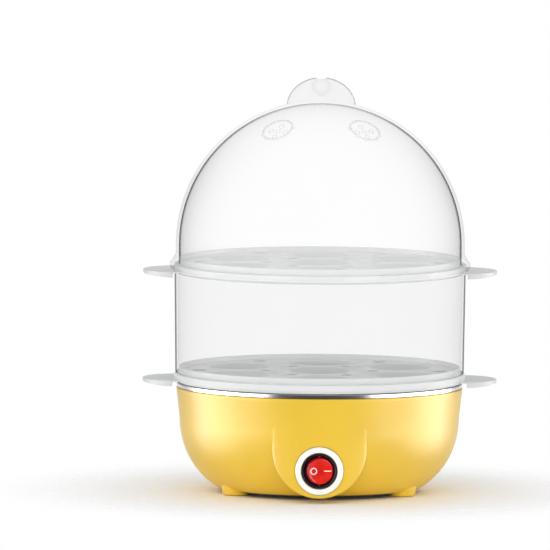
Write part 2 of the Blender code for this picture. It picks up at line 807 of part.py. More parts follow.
def heating_tube():
    span = 2 * pi - TUBE_OPENING
    first = FRONT + TUBE_OPENING / 2
    ring = [polar(TUBE_PLACE_R, first + span * i / TUBE_STEPS, tube_middle()) for i in range(TUBE_STEPS + 1)]
    return tube("heating_tube", [*reversed(tube_end(1)), *ring, *tube_end(-1)], TUBE_R, "element")


def heater_strap():
    half = STRAP_WIDTH / 2
    start = STRAP_HALF - half
    right = arc((start, 0), (half, half), -pi / 2, pi / 2, 8)
    left = arc((-start, 0), (half, half), pi / 2, 3 * pi / 2, 8)
    strap = outlined("heater_strap", [*right, *left], STRAP, centred=False)
    strap.location.z = strap_under()
    low, high = strap_under() - OVERRUN, strap_under() + STRAP + OVERRUN
    items = [((0, 0, low), (0, 0, high), STRAP_HOLE_R, FINE_STEPS)]
    for side in (-1, 1):
        x = side * STUD_X
        items.append(((x, 0, low), (x, 0, high), STUD_R + GAP))
        x = side * BRACKET_SCREW_X
        items.append(((x, 0, low), (x, 0, high), SMALL_SHANK_R + GAP))
    combine(strap, rods("strap_holes", items))
    return finish(strap, "steel")


def nuts():
    for number, side in enumerate((-1, 1), 1):
        x = side * STUD_X
        top = strap_under() - GAP
        nut = rods(f"strap_nut_{number}", [((x, 0, top - NUT), (x, 0, top), NUT_R, 6)], helper=False)
        bore = ((x, 0, top - NUT - OVERRUN), (x, 0, top + OVERRUN), STUD_R + GAP)
        combine(nut, rods(f"nut_bore_{number}", [bore]))
        finish(nut, "steel")


def bracket_top():
    return strap_under() - GAP


def thermostat():
    top = plate_low() - GAP
    shoulder = bracket_top() + GAP
    bottom = bracket_top() - BRACKET - THERMOSTAT_NECK + GAP
    levels = [
        (THERMOSTAT_CAP_R, top),
        (THERMOSTAT_CAP_R, top - THERMOSTAT_CAP),
        (THERMOSTAT_BODY_R, top - THERMOSTAT_CAP),
        (THERMOSTAT_BODY_R, shoulder),
        (THERMOSTAT_NECK_R, shoulder),
        (THERMOSTAT_NECK_R, bottom),
    ]
    body = turned("thermostat", disc_profile(levels), steps=FINE_STEPS, closed=False)
    bm = bmesh.new()
    for side in (-1, 1):
        x = side * BLADE_X
        low = (x - BLADE / 2, -BLADE_WIDTH / 2, bottom - BLADE_LENGTH)
        add_box(bm, low, (x + BLADE / 2, BLADE_WIDTH / 2, bottom + THERMOSTAT_NECK / 2))
    combine(body, from_bmesh(bm, "thermostat_blades", helper=True), "UNION")
    return finish(body, "black phenolic")


def thermostat_blade_end(side):
    bottom = bracket_top() - BRACKET - THERMOSTAT_NECK + GAP
    return Vector((side * BLADE_X, 0, bottom - BLADE_LENGTH - GAP))


def thermostat_bracket():
    half = BRACKET_WIDTH / 2
    start = BRACKET_HALF - half
    right = arc((start, 0), (half, half), -pi / 2, pi / 2, 6)
    left = arc((-start, 0), (half, half), pi / 2, 3 * pi / 2, 6)
    waist = THERMOSTAT_NECK_R + 2 * BRACKET
    bracket = outlined("thermostat_bracket", [*right, *left], BRACKET, centred=False)
    bracket.location.z = bracket_top() - BRACKET
    low, high = bracket_top() - BRACKET, bracket_top()
    combine(bracket, rods("bracket_round", [((0, 0, low), (0, 0, high), waist, FINE_STEPS)]), "UNION")
    neck = THERMOSTAT_NECK_R + GAP
    items = [((0, 0, low - OVERRUN), (0, 0, high + OVERRUN), neck, FINE_STEPS)]
    for side in (-1, 1):
        x = side * BRACKET_SCREW_X
        items.append(((x, 0, low - OVERRUN), (x, 0, high + OVERRUN), SMALL_SHANK_R + GAP))
    combine(bracket, rods("bracket_holes", items))
    finish(bracket, "steel")
    for number, side in enumerate((-1, 1), 1):
        head_top = low - GAP
        levels = [
            (SMALL_SHANK_R, strap_under() + STRAP),
            (SMALL_SHANK_R, head_top),
            (SMALL_HEAD_R, head_top),
            (SMALL_HEAD_R, head_top - SMALL_HEAD),
        ]
        screw(f"bracket_screw_{number}", (side * BRACKET_SCREW_X, 0, 0), levels)


def fuse_middle():
    return strap_under() - GAP - FUSE_R


def thermal_fuse():
    half = FUSE_LENGTH / 2
    cap = FUSE_R / 2
    levels = [(cap, half), (FUSE_R, half - cap), (FUSE_R, cap - half), (cap, -half)]
    fuse = turned("thermal_fuse", disc_profile(levels), steps=SMALL_STEPS, closed=False)
    fuse.rotation_euler.x = radians(90)
    fuse.location = (-FUSE_X, 0, fuse_middle())
    finish(fuse, "white ceramic")
    inner, outer = FUSE_R + GAP, FUSE_R + GAP + CLIP
    wing_top = FUSE_R
    wing = outer + CLIP_WING
    under = [(-wing, wing_top - CLIP), (-outer, wing_top - CLIP)]
    under += arc((0, 0), (outer, outer), pi, 2 * pi, 8)
    under += [(outer, wing_top - CLIP), (wing, wing_top - CLIP), (wing, wing_top), (inner, wing_top)]
    over = arc((0, 0), (inner, inner), 0, -pi, 8)
    clip = outlined("fuse_clip", [*under, *over, (-inner, wing_top), (-wing, wing_top)], CLIP_WIDTH)
    clip.rotation_euler.x = radians(90)
    clip.location = (-FUSE_X, 0, fuse_middle())
    finish(clip, "steel")


def cord_grommet():
    wall_in = CABLE_FACE - WALL - GAP
    wall_out = CABLE_FACE + GAP
    neck = CABLE_HOLE_R - GAP
    tip = wall_out + GROMMET_FLANGE + GROMMET_NOSE
    profile = [
        (GROMMET_BORE_R, tip),
        (neck - GROMMET_FLANGE / 2, tip),
        (neck, wall_out + GROMMET_FLANGE),
        (GROMMET_FLANGE_R, wall_out + GROMMET_FLANGE),
        (GROMMET_FLANGE_R, wall_out),
        (neck, wall_out),
        (neck, wall_in),
        (GROMMET_FLANGE_R, wall_in),
        (GROMMET_FLANGE_R, wall_in - GROMMET_FLANGE),
        (GROMMET_BORE_R, wall_in - GROMMET_FLANGE),
    ]
    grommet = turned("cord_grommet", profile, steps=20)
    grommet.rotation_euler.x = radians(-90)
    grommet.location.z = CABLE_Z
    return finish(grommet, "rubber")


def cord_clamp():
    first, second = clamp_places(CLAMP_POST_TOP + GAP)
    half = CLAMP_WIDTH / 2
    reach = (second - first).length / 2
    right = arc((reach, 0), (half, half), -pi / 2, pi / 2, 6)
    left = arc((-reach, 0), (half, half), pi / 2, 3 * pi / 2, 6)
    clamp = outlined("cord_clamp", [*right, *left], CLAMP_BAR, centred=False)
    items = [((x, 0, -OVERRUN), (x, 0, CLAMP_BAR + OVERRUN), SMALL_SHANK_R + GAP) for x in (-reach, reach)]
    combine(clamp, rods("clamp_holes", items))
    stand(clamp, (first + second) / 2, (0, 0, CLAMP_ANGLE + pi / 2))
    return finish(clamp, "dark plastic")


def terminal_block():
    low = BODY_BOTTOM + RECESS_DEPTH + FLOOR + GAP
    turn = Matrix.Rotation(BLOCK_ANGLE, 4, "Z")
    bm = bmesh.new()
    far, near = BLOCK_PLACE_R + BLOCK_DEPTH / 2, BLOCK_PLACE_R - BLOCK_DEPTH / 2
    half = BLOCK_LENGTH / 2
    add_box(bm, (near, -half, low), (far, half, low + BLOCK_HEIGHT * 2 / 3), turn)
    block = from_bmesh(bm, "terminal_block")
    top = low + BLOCK_HEIGHT
    towers, wells = [], []
    for i in (-1, 0, 1):
        centre = turn @ Vector((BLOCK_PLACE_R, i * BLOCK_SPACING, 0))
        x, y = centre.x, centre.y
        towers.append(((x, y, low + BLOCK_HEIGHT / 4), (x, y, top), BLOCK_TOWER_R))
        wells.append(((x, y, low + BLOCK_HEIGHT / 2), (x, y, top + OVERRUN), BLOCK_SCREW_R, 8))
    combine(block, rods("block_towers", towers), "UNION")
    combine(block, rods("block_wells", wells))
    return finish(block, "white ceramic")


def block_entry(number):
    """Where a lead meets the terminal block's inner face."""
    low = BODY_BOTTOM + RECESS_DEPTH + FLOOR + GAP
    face = BLOCK_PLACE_R - BLOCK_DEPTH / 2 - GAP
    entry = Vector((face, number * BLOCK_SPACING, low + BLOCK_HEIGHT / 3))
    return Matrix.Rotation(BLOCK_ANGLE, 4, "Z") @ entry


# Middle points of the leads: x and y as shares of the body's radius, z of the pan's height
LIVE_SHARES = [(0.22, 0.30, 0.25), (0.27, 0.0, 0.23), (0.23, -0.24, 0.25), (0.08, -0.46, 0.38)]
LAMP_SHARES = [(0.42, 0.14, 0.25), (0.36, -0.20, 0.25), (0.19, -0.46, 0.36)]
SWITCHED_SHARES = [(-0.16, -0.43, 0.50), (-0.30, -0.28, 0.57)]
FUSE_SHARES = [(-0.42, 0.22, 0.49), (-0.49, 0.05, 0.41), (-0.40, -0.20, 0.38), (-0.25, -0.29, 0.39)]
THERMOSTAT_SHARES = [(0.16, -0.22, 0.36), (0.10, -0.08, 0.32)]
NEUTRAL_SHARES = [(-0.02, 0.14, 0.25), (0.08, 0.30, 0.24), (0.19, 0.41, 0.26)]


def smooth_route(points, count):
    """Points along a smooth curve through the given points."""
    ends = [points[0] * 2 - points[1], *points, points[-1] * 2 - points[-2]]
    spans = len(points) - 1
    route = []
    for i in range(count + 1):
        along = spans * i / count
        k = min(int(along), spans - 1)
        t = along - k
        a, b, c, d = ends[k : k + 4]
        bent = (b * 2) + (c - a) * t + (a * 2 - b * 5 + c * 4 - d) * t**2
        route.append((bent + (b * 3 - a - c * 3 + d) * t**3) / 2)
    return route


def lead(name, look, start, shares, end):
    """A lead between two ends, each a point with the way that the lead runs out of it."""
    middle = [Vector((x * BODY_R, y * BODY_R, z * PAN_FLOOR)) for x, y, z in shares]
    first, last = start[0], end[0]
    points = [first + start[1] * LEAD_STUB, *middle, last + end[1] * LEAD_STUB]
    return tube(name, [first, *smooth_route(points, LEAD_POINTS), last], LEAD_R, look)


def leads():
    back, down = Vector((0, 1, 0)), Vector((0, 0, -1))

    def terminal(side):
        return Vector((side * TERMINAL_X, GAP - TERMINAL_END, SWITCH_Z)), back

    def tube_tip(side):
        return tube_end(side)[-1] + down * GAP, down

    def fuse_end(side):
        return Vector((-FUSE_X, side * (FUSE_LENGTH / 2 + GAP), fuse_middle())), back * side

    def block(number):
        return block_entry(number), -polar(1, BLOCK_ANGLE)

    def blade(side):
        return thermostat_blade_end(side), down

    lead("live_lead", "red lead", block(0), LIVE_SHARES, terminal(0))
    lead("lamp_lead", "blue lead", block(-1), LAMP_SHARES, terminal(1))
    lead("switched_lead", "red lead", terminal(-1), SWITCHED_SHARES, fuse_end(-1))
    lead("fuse_lead", "white lead", fuse_end(1), FUSE_SHARES, tube_tip(-1))
    lead("thermostat_lead", "white lead", tube_tip(1), THERMOSTAT_SHARES, blade(1))
    lead("neutral_lead", "blue lead", blade(-1), NEUTRAL_SHARES, block(1))


def switch_front():
    """How far forward the panel's seat holds the switch ring and the bezel."""
    return POCKET_FACE + GAP


def facing_front(obj, parent=None, tilt=0.0):
    """Turns a part that was built looking up, so that it looks at the front."""
    location = (0, 0, 0) if parent else (0, 0, SWITCH_Z)
    return stand(obj, location, (radians(90), 0, tilt), parent)


def switch_ring():
    low = switch_front()
    top = low + SWITCH_RING
    soft = SWITCH_RING_ROUND / 2
    middle = (SWITCH_RING_R - SWITCH_RING_ROUND, top - SWITCH_RING_ROUND)
    outer = arc(middle, (SWITCH_RING_ROUND, SWITCH_RING_ROUND), pi / 2, 0, 2)
    inner = [(SWITCH_RING_BORE_R, top - soft), (SWITCH_RING_BORE_R + soft, top)]
    profile = [*inner, *outer, (SWITCH_RING_R, low), (SWITCH_RING_BORE_R, low)]
    ring = turned("switch_ring", profile, steps=24)
    return finish(facing_front(ring), "white plastic")


def switch_body():
    low = switch_front()
    face = low + BEZEL
    back = ARM_PIVOT - CONTACT_ROOM
    profile = [
        (0, back + BARREL_BACK),
        (BARREL_BORE_R, back + BARREL_BACK),
        (BARREL_BORE_R, face - BEZEL_SLOPE),
        (BEZEL_LIP_R, face),
        (BEZEL_R - SWITCH_RING_ROUND / 2, face),
        (BEZEL_R, face - SWITCH_RING_ROUND / 2),
        (BEZEL_R, low),
        (BARREL_R, low),
        (BARREL_R, back),
        (0, back),
    ]
    body = turned("switch_body", profile, steps=FINE_STEPS, closed=False)
    snap_top = POCKET_FACE - PANEL - GAP
    snap_out = BARREL_R + SNAP_RISE
    snap_in = BARREL_R - SNAP_RISE
    outline = [(snap_in, snap_top - SNAP_LENGTH), (BARREL_R, snap_top - SNAP_LENGTH), (snap_out, snap_top)]
    outline.append((snap_in, snap_top))
    for side in (-1, 1):
        snap = outlined(f"snap_{side}", [(side * x, y) for x, y in outline], SNAP_WIDTH, helper=True)
        snap.data.transform(Matrix.Rotation(radians(90), 4, "X"))
        combine(body, snap, "UNION")
    bores = [((0, -BEZEL_LIP_R, ROCKER_PIVOT), (0, BEZEL_LIP_R, ROCKER_PIVOT), PIN_R + PIN_CLEARANCE)]
    combine(body, rods("pin_bores", bores))
    bm = bmesh.new()
    half_x, half_y = BLADE / 2 + GAP, TERMINAL_WIDTH / 2 + GAP
    for side in (-1, 0, 1):
        x = side * TERMINAL_X
        slot_low = (x - half_x, -half_y, back - OVERRUN)
        add_box(bm, slot_low, (x + half_x, half_y, back + BARREL_BACK + OVERRUN))
    combine(body, from_bmesh(bm, "terminal_slots", helper=True))
    return finish(facing_front(body), "black plastic")


def pivot(name, distance):
    """An empty on a hinge axis of the switch, to carry the pieces that turn on it."""
    empty = place(bpy.data.objects.new(name, None))
    empty.location = (0, -distance, SWITCH_Z)
    empty.empty_display_size = ROCKER_BALL_R
    return empty


def switch_rocker():
    """A ball slice on two pins, which rests with its right side pressed in."""
    hinge = pivot("rocker_pivot", ROCKER_PIVOT)
    first, last = asin(ROCKER_FACE / ROCKER_BALL_R), -asin(ROCKER_REAR / ROCKER_BALL_R)
    ball = arc((0, 0), (ROCKER_BALL_R, ROCKER_BALL_R), first, last, 4)
    face_r = ball[0][0]
    dish = [(face_r * t, ROCKER_FACE - ROCKER_DISH * (1 - t * t)) for t in DISH_SHARES]
    stem = [(ROCKER_STEM_R, -ROCKER_REAR), (ROCKER_STEM_R, -ROCKER_STEM), (0, -ROCKER_STEM)]
    rocker = turned("switch_rocker", [*dish, *ball, *stem], steps=16, closed=False)
    pins = [((0, -PIN_HALF, 0), (0, PIN_HALF, 0), PIN_R)]
    combine(rocker, rods("rocker_pins", pins), "UNION")
    reach = ROCKER_BALL_R
    bores = [
        ((LAMP_X, -reach, -LAMP_DEPTH), (LAMP_X, reach, -LAMP_DEPTH), LAMP_R + GAP),
        ((0, 0, GAP - PLUNGER_START), (0, 0, -ROCKER_STEM - OVERRUN), PLUNGER_R + GAP),
    ]
    combine(rocker, rods("rocker_bores", bores))
    finish(facing_front(rocker, hinge, ROCKER_TILT), "red plastic")
    half = LAMP_LENGTH / 2
    glass = ((LAMP_X, -half, -LAMP_DEPTH), (LAMP_X, half, -LAMP_DEPTH), LAMP_R)
    lamp = rods("switch_lamp", [glass], helper=False)
    finish(facing_front(lamp, hinge, ROCKER_TILT), "lamp glass")
    tip = PLUNGER_R / 2
    levels = [
        (PLUNGER_R, -PLUNGER_START),
        (PLUNGER_R, tip - PLUNGER_TIP),
        (tip, -PLUNGER_TIP),
    ]
    plunger = turned("switch_plunger", disc_profile(levels), steps=SMALL_STEPS, closed=False)
    finish(facing_front(plunger, hinge, ROCKER_TILT), "white plastic")


def contact_arm():
    hinge = pivot("contact_pivot", ARM_PIVOT)
    outline = [(-ARM_HALF, 0), (-TERMINAL_X / 2, -ARM_WIDTH / 2), (TERMINAL_X / 2, -ARM_WIDTH / 2)]
    outline += [(ARM_HALF, 0), (TERMINAL_X / 2, ARM_WIDTH / 2), (-TERMINAL_X / 2, ARM_WIDTH / 2)]
    arm = outlined("contact_arm", outline, ARM)
    return finish(facing_front(arm, hinge, -ARM_TILT), "brass")


def terminals():
    pads = {
        "load_terminal": (-1, ARM_PIVOT - ARM * 2 - TERMINAL_SET),
        "line_terminal": (0, ARM_PIVOT - ARM / 2 - GAP),
        "lamp_terminal": (1, ARM_PIVOT - ARM * 2 - TERMINAL_SET * 3),
    }
    for name, (side, front) in pads.items():
        bm = bmesh.new()
        x, half = side * TERMINAL_X, TERMINAL_WIDTH / 2
        add_box(bm, (x - BLADE / 2, -half, TERMINAL_END), (x + BLADE / 2, half, front))
        blade = from_bmesh(bm, name)
        cut = [((x - BLADE, 0, TERMINAL_END + half), (x + BLADE, 0, TERMINAL_END + half), BLADE)]
        combine(blade, rods(name + "_eye", cut))
        finish(facing_front(blade), "brass")


def egg_tray(name, seat):
    profile = [
        (0, DECK_TOP),
        (COLLAR_INNER_R, DECK_TOP),
        (COLLAR_INNER_R, COLLAR_TOP),
        (COLLAR_R, COLLAR_TOP),
        (COLLAR_R, TRAY_FLANGE),
        (TRAY_R, TRAY_FLANGE),
        (TRAY_R, 0),
        (RIM_SPIGOT_OUTER_R, 0),
        (RIM_SPIGOT_OUTER_R, -RIM_SPIGOT),
        (RIM_SPIGOT_INNER_R, -RIM_SPIGOT),
        (RIM_SPIGOT_INNER_R, 0),
        (SEAT_RIB_R, 0),
        (SEAT_RIB_R, DECK_TOP - DECK),
        (0, DECK_TOP - DECK),
    ]
    tray = turned(name, profile, closed=False)
    cups, rooms, holes = [], [], []
    turns = [i * 2 * pi / CUP_COUNT for i in range(CUP_COUNT)]
    places = [Vector()] + [polar(CUP_PLACE_R, turn + radians(30)) for turn in turns]
    slope = (CUP_MOUTH_R - CUP_FOOT_R) / (DECK_TOP + CUP_BOTTOM)
    spread = slope * OVERRUN
    for at in places:
        low = at - Vector((0, 0, CUP_BOTTOM))
        top = at + Vector((0, 0, DECK_TOP - DECK / 2))
        cups.append((low, top, CUP_FOOT_R + CUP_WALL, CUP_STEPS, CUP_MOUTH_R + CUP_WALL))
        low = low - Vector((0, 0, OVERRUN))
        top = at + Vector((0, 0, DECK_TOP + OVERRUN))
        rooms.append((low, top, CUP_FOOT_R - spread, CUP_STEPS, CUP_MOUTH_R + spread))
    combine(tray, rods(name + "_cups", cups), "UNION")
    combine(tray, rods(name + "_rooms", rooms))
    low, high = -OVERRUN, DECK_TOP + OVERRUN
    for turn in turns:
        for pitch, radius in ((STEAM_OUTER_PLACE_R, STEAM_OUTER_R), (STEAM_INNER_PLACE_R, STEAM_INNER_R)):
            holes.append((polar(pitch, turn, low), polar(pitch, turn, high), radius, 6))
    combine(tray, rods(name + "_holes", holes))
    combine(tray, ears(name), "UNION")
    return finish(stand(tray, (0, 0, seat)), "frosted plastic")


def ear_ends(inset):
    """The outlines of the right and the left ear, moved inwards by inset."""
    reach, half = EAR_REACH - inset - COLLAR_R, EAR_HALF - inset
    right = arc((COLLAR_R, 0), (reach, half), -pi / 2, pi / 2, 8)
    return right, [(-x, -y) for x, y in right]


def ears(name):
    """Both ears: a plate with a rim that hangs from its edge, clear of the wall below."""
    right, left = ear_ends(0)
    top = EAR_BASE + EAR_PLATE
    plate = outlined(name + "_ears", [*right, *left], EAR_LIP + top, helper=True, centred=False)
    plate.data.transform(Matrix.Translation((0, 0, -EAR_LIP)))
    right, left = ([p for p in end if hypot(*p) > EAR_LIP_START_R] for end in ear_ends(EAR_LIP_WALL))
    corner = atan2(right[-1][1], right[-1][0])
    radii = (EAR_LIP_START_R, EAR_LIP_START_R)
    back = arc((0, 0), radii, corner, pi - corner, 8)[1:-1]
    front = [(-x, -y) for x, y in back]
    under = outlined(name + "_under", [*right, *back, *left, *front], EAR_LIP * 2, helper=True)
    under.data.transform(Matrix.Translation((0, 0, EAR_BASE - EAR_LIP)))
    combine(plate, under)
    core_r = (RIM_SPIGOT_OUTER_R + TRAY_R) / 2
    core = ((0, 0, -OVERRUN), (0, 0, top + OVERRUN), core_r, STEPS)
    return combine(plate, rods(name + "_core", [core]))


def middle_ring():
    top = SEAT_HIGH - GAP
    low = SEAT_LOW + TRAY_FLANGE + GAP
    outer = [(TRAY_R, top), (RING_LOW_R, low)]
    inner = [(radius - RING_WALL, height) for radius, height in reversed(outer)]
    return finish(turned("middle_ring", [*outer, *inner]), "clear plastic")


def dome(radius, count):
    """Points down a dome's profile from its crown to its full width."""
    return arc((0, DOME_MID), (radius, radius), pi / 2, 0, count)


def steam_vents(lid):
    """Two round vents on the front of the dome, each a sunk disc with a rim and five holes."""
    rims, sinks, holes = [], [], []
    centre = Vector((0, 0, DOME_MID))
    for side in (-1, 1):
        turn = Matrix.Rotation(FRONT + side * STEAM_VENT_TURN, 3, "Z")
        turn = turn @ Matrix.Rotation(STEAM_VENT_TILT, 3, "Y")
        out = turn @ Vector((0, 0, 1))
        top = centre + out * (DOME_R + STEAM_VENT_RISE)
        over = top + out * OVERRUN
        rims.append((centre + out * (DOME_R - DOME_WALL), top, STEAM_VENT_R, 16))
        sink_r = STEAM_VENT_R - STEAM_VENT_RIM
        sinks.append((centre + out * (DOME_R - STEAM_VENT_SINK), over, sink_r, 16))
        through = out * (DOME_R - DOME_WALL - OVERRUN)
        places = [Vector()] + [turn @ polar(STEAM_HOLE_PLACE_R, i * pi / 2) for i in range(4)]
        for at in places:
            holes.append((centre + at + through, at + over, STEAM_HOLE_R, 6))
    combine(lid, rods("vent_rims", rims), "UNION")
    return rods("vent_sinks", sinks), rods("vent_holes", holes)


def grip(lid):
    """The upright half-oval grip, with a notch on top and a thumb scoop on each face."""
    low = GRIP_MID - GRIP_SINK
    top = GRIP_MID + GRIP_RISE
    outline = [(-GRIP_HALF, low), (GRIP_HALF, low), *arc((0, GRIP_MID), (GRIP_HALF, GRIP_RISE), 0, pi, 12)]
    plate = outlined("grip", outline, GRIP, helper=True)
    plate.data.transform(Matrix.Rotation(radians(90), 4, "X"))
    notch_z = top - GRIP_NOTCH + GRIP_NOTCH_R
    combine(plate, rods("grip_notch", [((0, -GRIP, notch_z), (0, GRIP, notch_z), GRIP_NOTCH_R, 16)]))
    edge = plate.modifiers.new("Edge", "BEVEL")
    edge.width = GRIP_EDGE
    edge.segments = 1
    edge.limit_method = "ANGLE"
    edge.angle_limit = radians(50)
    bm = bmesh.new()
    for side in (-1, 1):
        at = Matrix.Translation((0, side * (GRIP / 2 + SCOOP_R - SCOOP_DEPTH), GRIP_MID + SCOOP_RISE))
        bmesh.ops.create_uvsphere(bm, u_segments=20, v_segments=14, radius=SCOOP_R, matrix=at)
    combine(plate, from_bmesh(bm, "grip_scoops", helper=True))
    return combine(lid, plate, "UNION")


def dome_lid():
    low = SHOULDER - LIP_SKIRT
    bead = low + LIP_BEAD
    levels = [
        *dome(DOME_R, 9)[1:],
        (DOME_R, SHOULDER + LID_SIDE),
        (LIP_R - LIP_FLARE, bead + LIP_FLARE),
        (LIP_R, bead),
        (LIP_R, low + LIP_FLARE),
        (LIP_R - LIP_FLARE / 2, low),
    ]
    lid = turned("dome_lid", [(0, DOME_MID + DOME_R), *levels, (0, low)], closed=False)
    grip(lid)
    sinks, holes = steam_vents(lid)
    inner_r = DOME_R - DOME_WALL
    skirt = [(inner_r, SHOULDER), (LIP_BORE_R, SHOULDER), (LIP_BORE_R, low - OVERRUN)]
    profile = [(0, DOME_MID + inner_r), *dome(inner_r, 6)[1:], *skirt, (0, low - OVERRUN)]
    combine(lid, turned("lid_room", profile, closed=False, helper=True))
    for cutter in (sinks, holes):
        combine(lid, cutter)
    return finish(lid, "frosted plastic")


def main():
    base_housing()
    bottom_cover()
    screws()
    heating_pan()
    pan_seal()
    heater_plate()
    heating_tube()
    heater_strap()
    nuts()
    thermostat()
    thermostat_bracket()
    thermal_fuse()
    cord_grommet()
    cord_clamp()
    terminal_block()
    leads()
    switch_ring()
    switch_body()
    switch_rocker()
    contact_arm()
    terminals()
    egg_tray("lower_egg_tray", SEAT_LOW)
    middle_ring()
    egg_tray("upper_egg_tray", SEAT_HIGH)
    dome_lid()


# Colour, roughness, metallic share and alpha of each kind of surface
LOOKS = {
    "yellow": ((0.80, 0.50, 0.06), 0.32),
    "dark plastic": ((0.06, 0.06, 0.07), 0.45),
    "steel": ((0.62, 0.62, 0.63), 0.22, 1.0),
    "silicone": ((0.75, 0.76, 0.76), 0.55),
    "aluminium": ((0.72, 0.73, 0.75), 0.38, 1.0),
    "element": ((0.25, 0.24, 0.24), 0.50, 1.0),
    "black phenolic": ((0.03, 0.03, 0.035), 0.50),
    "white ceramic": ((0.82, 0.81, 0.77), 0.40),
    "rubber": ((0.05, 0.05, 0.055), 0.65),
    "red lead": ((0.62, 0.03, 0.02), 0.40),
    "blue lead": ((0.03, 0.10, 0.45), 0.40),
    "white lead": ((0.80, 0.80, 0.78), 0.40),
    "white plastic": ((0.88, 0.88, 0.86), 0.28),
    "black plastic": ((0.02, 0.02, 0.022), 0.35),
    "red plastic": ((0.70, 0.02, 0.01), 0.22),
    "lamp glass": ((0.95, 0.45, 0.20), 0.10, 0.0, 0.6),
    "brass": ((0.80, 0.60, 0.28), 0.30, 1.0),
    "frosted plastic": ((0.86, 0.88, 0.90), 0.40, 0.0, 0.55),
    "clear plastic": ((0.90, 0.92, 0.94), 0.10, 0.0, 0.30),
}

clear_scene()
PARTS = new_collection("two_tier_egg_boiler")
CUTTERS = new_collection("cutters")
main()
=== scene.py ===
"""The looks of a two-tier electric egg boiler: moulded yellow base with a rocker switch,
steel pan, two frosted egg trays, clear ring and clear domed lid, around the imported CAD."""

from __future__ import annotations

import logging
from collections.abc import Callable
from dataclasses import dataclass, field
from enum import Enum
from math import acos, asin, cos, pi, radians, sin, sqrt, tan

import bmesh
import bpy
from mathutils import Matrix, Vector

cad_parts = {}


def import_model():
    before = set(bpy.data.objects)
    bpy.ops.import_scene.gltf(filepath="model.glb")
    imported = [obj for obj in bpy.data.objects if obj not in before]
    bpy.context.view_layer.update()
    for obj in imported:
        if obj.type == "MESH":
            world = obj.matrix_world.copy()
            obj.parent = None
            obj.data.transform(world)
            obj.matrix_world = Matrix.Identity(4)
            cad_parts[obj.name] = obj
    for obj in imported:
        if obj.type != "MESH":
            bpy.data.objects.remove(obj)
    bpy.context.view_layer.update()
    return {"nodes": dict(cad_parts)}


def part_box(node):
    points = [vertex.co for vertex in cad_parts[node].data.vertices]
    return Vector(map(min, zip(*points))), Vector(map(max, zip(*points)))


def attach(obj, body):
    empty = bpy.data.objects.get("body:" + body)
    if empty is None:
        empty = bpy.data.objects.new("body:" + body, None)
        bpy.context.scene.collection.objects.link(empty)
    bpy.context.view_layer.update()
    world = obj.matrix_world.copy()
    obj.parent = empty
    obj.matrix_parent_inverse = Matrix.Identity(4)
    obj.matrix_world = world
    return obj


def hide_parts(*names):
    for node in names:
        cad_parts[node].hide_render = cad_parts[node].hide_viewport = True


LOG = logging.getLogger("egg_boiler")
MM = 0.001
FULL_TURN = 2 * pi
FINE_STEPS = 144
TRAY_STEPS = 128
DISC_STEPS = 96
GROMMET_STEPS = 64
ROUND_STEPS = 48
SMALL_STEPS = 24
MERGE = 1e-7
SHARP = radians(32)
FOOT_PLACE_R = 49.7 * MM
COVER_PLACE_R = 44.8 * MM
CENTRE = Vector((0, 0, 0))
UP = Vector((0, 0, 1))


class Body(str, Enum):
    """The CAD bodies that the pieces ride on."""

    BASE = "base"
    LOWER_TRAY = "lower_tray"
    RING = "ring"
    UPPER_TRAY = "upper_tray"
    LID = "lid"
    ROCKER = "rocker"


class Carve(str, Enum):
    """How one mesh shapes another."""

    CUT = "DIFFERENCE"
    JOIN = "UNION"
    SHARE = "INTERSECT"


class Pattern(Enum):
    """How the fine surface of a finish runs."""

    MOULDED = "moulded"
    BRUSHED_ROUND = "brushed_round"
    CAST = "cast"


def linear(red: int, green: int, blue: int) -> tuple[float, float, float, float]:
    """Turns a colour as seen on a screen into the scene's linear light.

    Args:
        red: Red from 0 to 255.
        green: Green from 0 to 255.
        blue: Blue from 0 to 255.

    Returns:
        The linear colour with full opacity.
    """
    parts = [value / 255 for value in (red, green, blue)]
    light = [p / 12.92 if p <= 0.04045 else ((p + 0.055) / 1.055) ** 2.4 for p in parts]
    return (light[0], light[1], light[2], 1.0)


# Finishes


def fed(tree: bpy.types.NodeTree, node: bpy.types.Node, inputs: dict[str | int, object]) -> None:
    """Gives a node's inputs their values, and links those that take another node's output.

    Args:
        tree: The node tree.
        node: The node.
        inputs: A value or an output for each input, by its name or number.
    """
    for name, given in inputs.items():
        if isinstance(given, bpy.types.NodeSocket):
            tree.links.new(given, node.inputs[name])
        else:
            node.inputs[name].default_value = given


def grown(tree: bpy.types.NodeTree, kind: str, output: str | int = 0,
          inputs: dict[str | int, object] | None = None,
          **settings: object) -> bpy.types.NodeSocket:
    """Adds a node to a tree.

    Args:
        tree: The node tree.
        kind: The node's type, without the words that every shader node's type starts with.
        output: Which of its outputs is wanted.
        inputs: A value or another node's output for each input, by its name or number.
        **settings: The node's own settings.

    Returns:
        The output.
    """
    node = tree.nodes.new("ShaderNode" + kind)
    for name, value in settings.items():
        setattr(node, name, value)
    fed(tree, node, inputs or {})
    return node.outputs[output]


@dataclass(frozen=True)
class Surface:
    """What a piece is made of, and the export's slot for it."""

    name: str
    slot: str

    def material(self) -> bpy.types.Material:
        """Returns the finish's material, made the first time that it is asked for."""
        label = f"{self.name}_finish"
        made = bpy.data.materials.get(label)
        if made is None:
            made = bpy.data.materials.new(label)
            made.use_nodes = True
            self.wire(made.node_tree)
        return made

    def wire(self, tree: bpy.types.NodeTree) -> None:
        """Sets up the shader nodes of the finish.

        Args:
            tree: The material's node tree, with its shader and output in place.
        """
        raise NotImplementedError


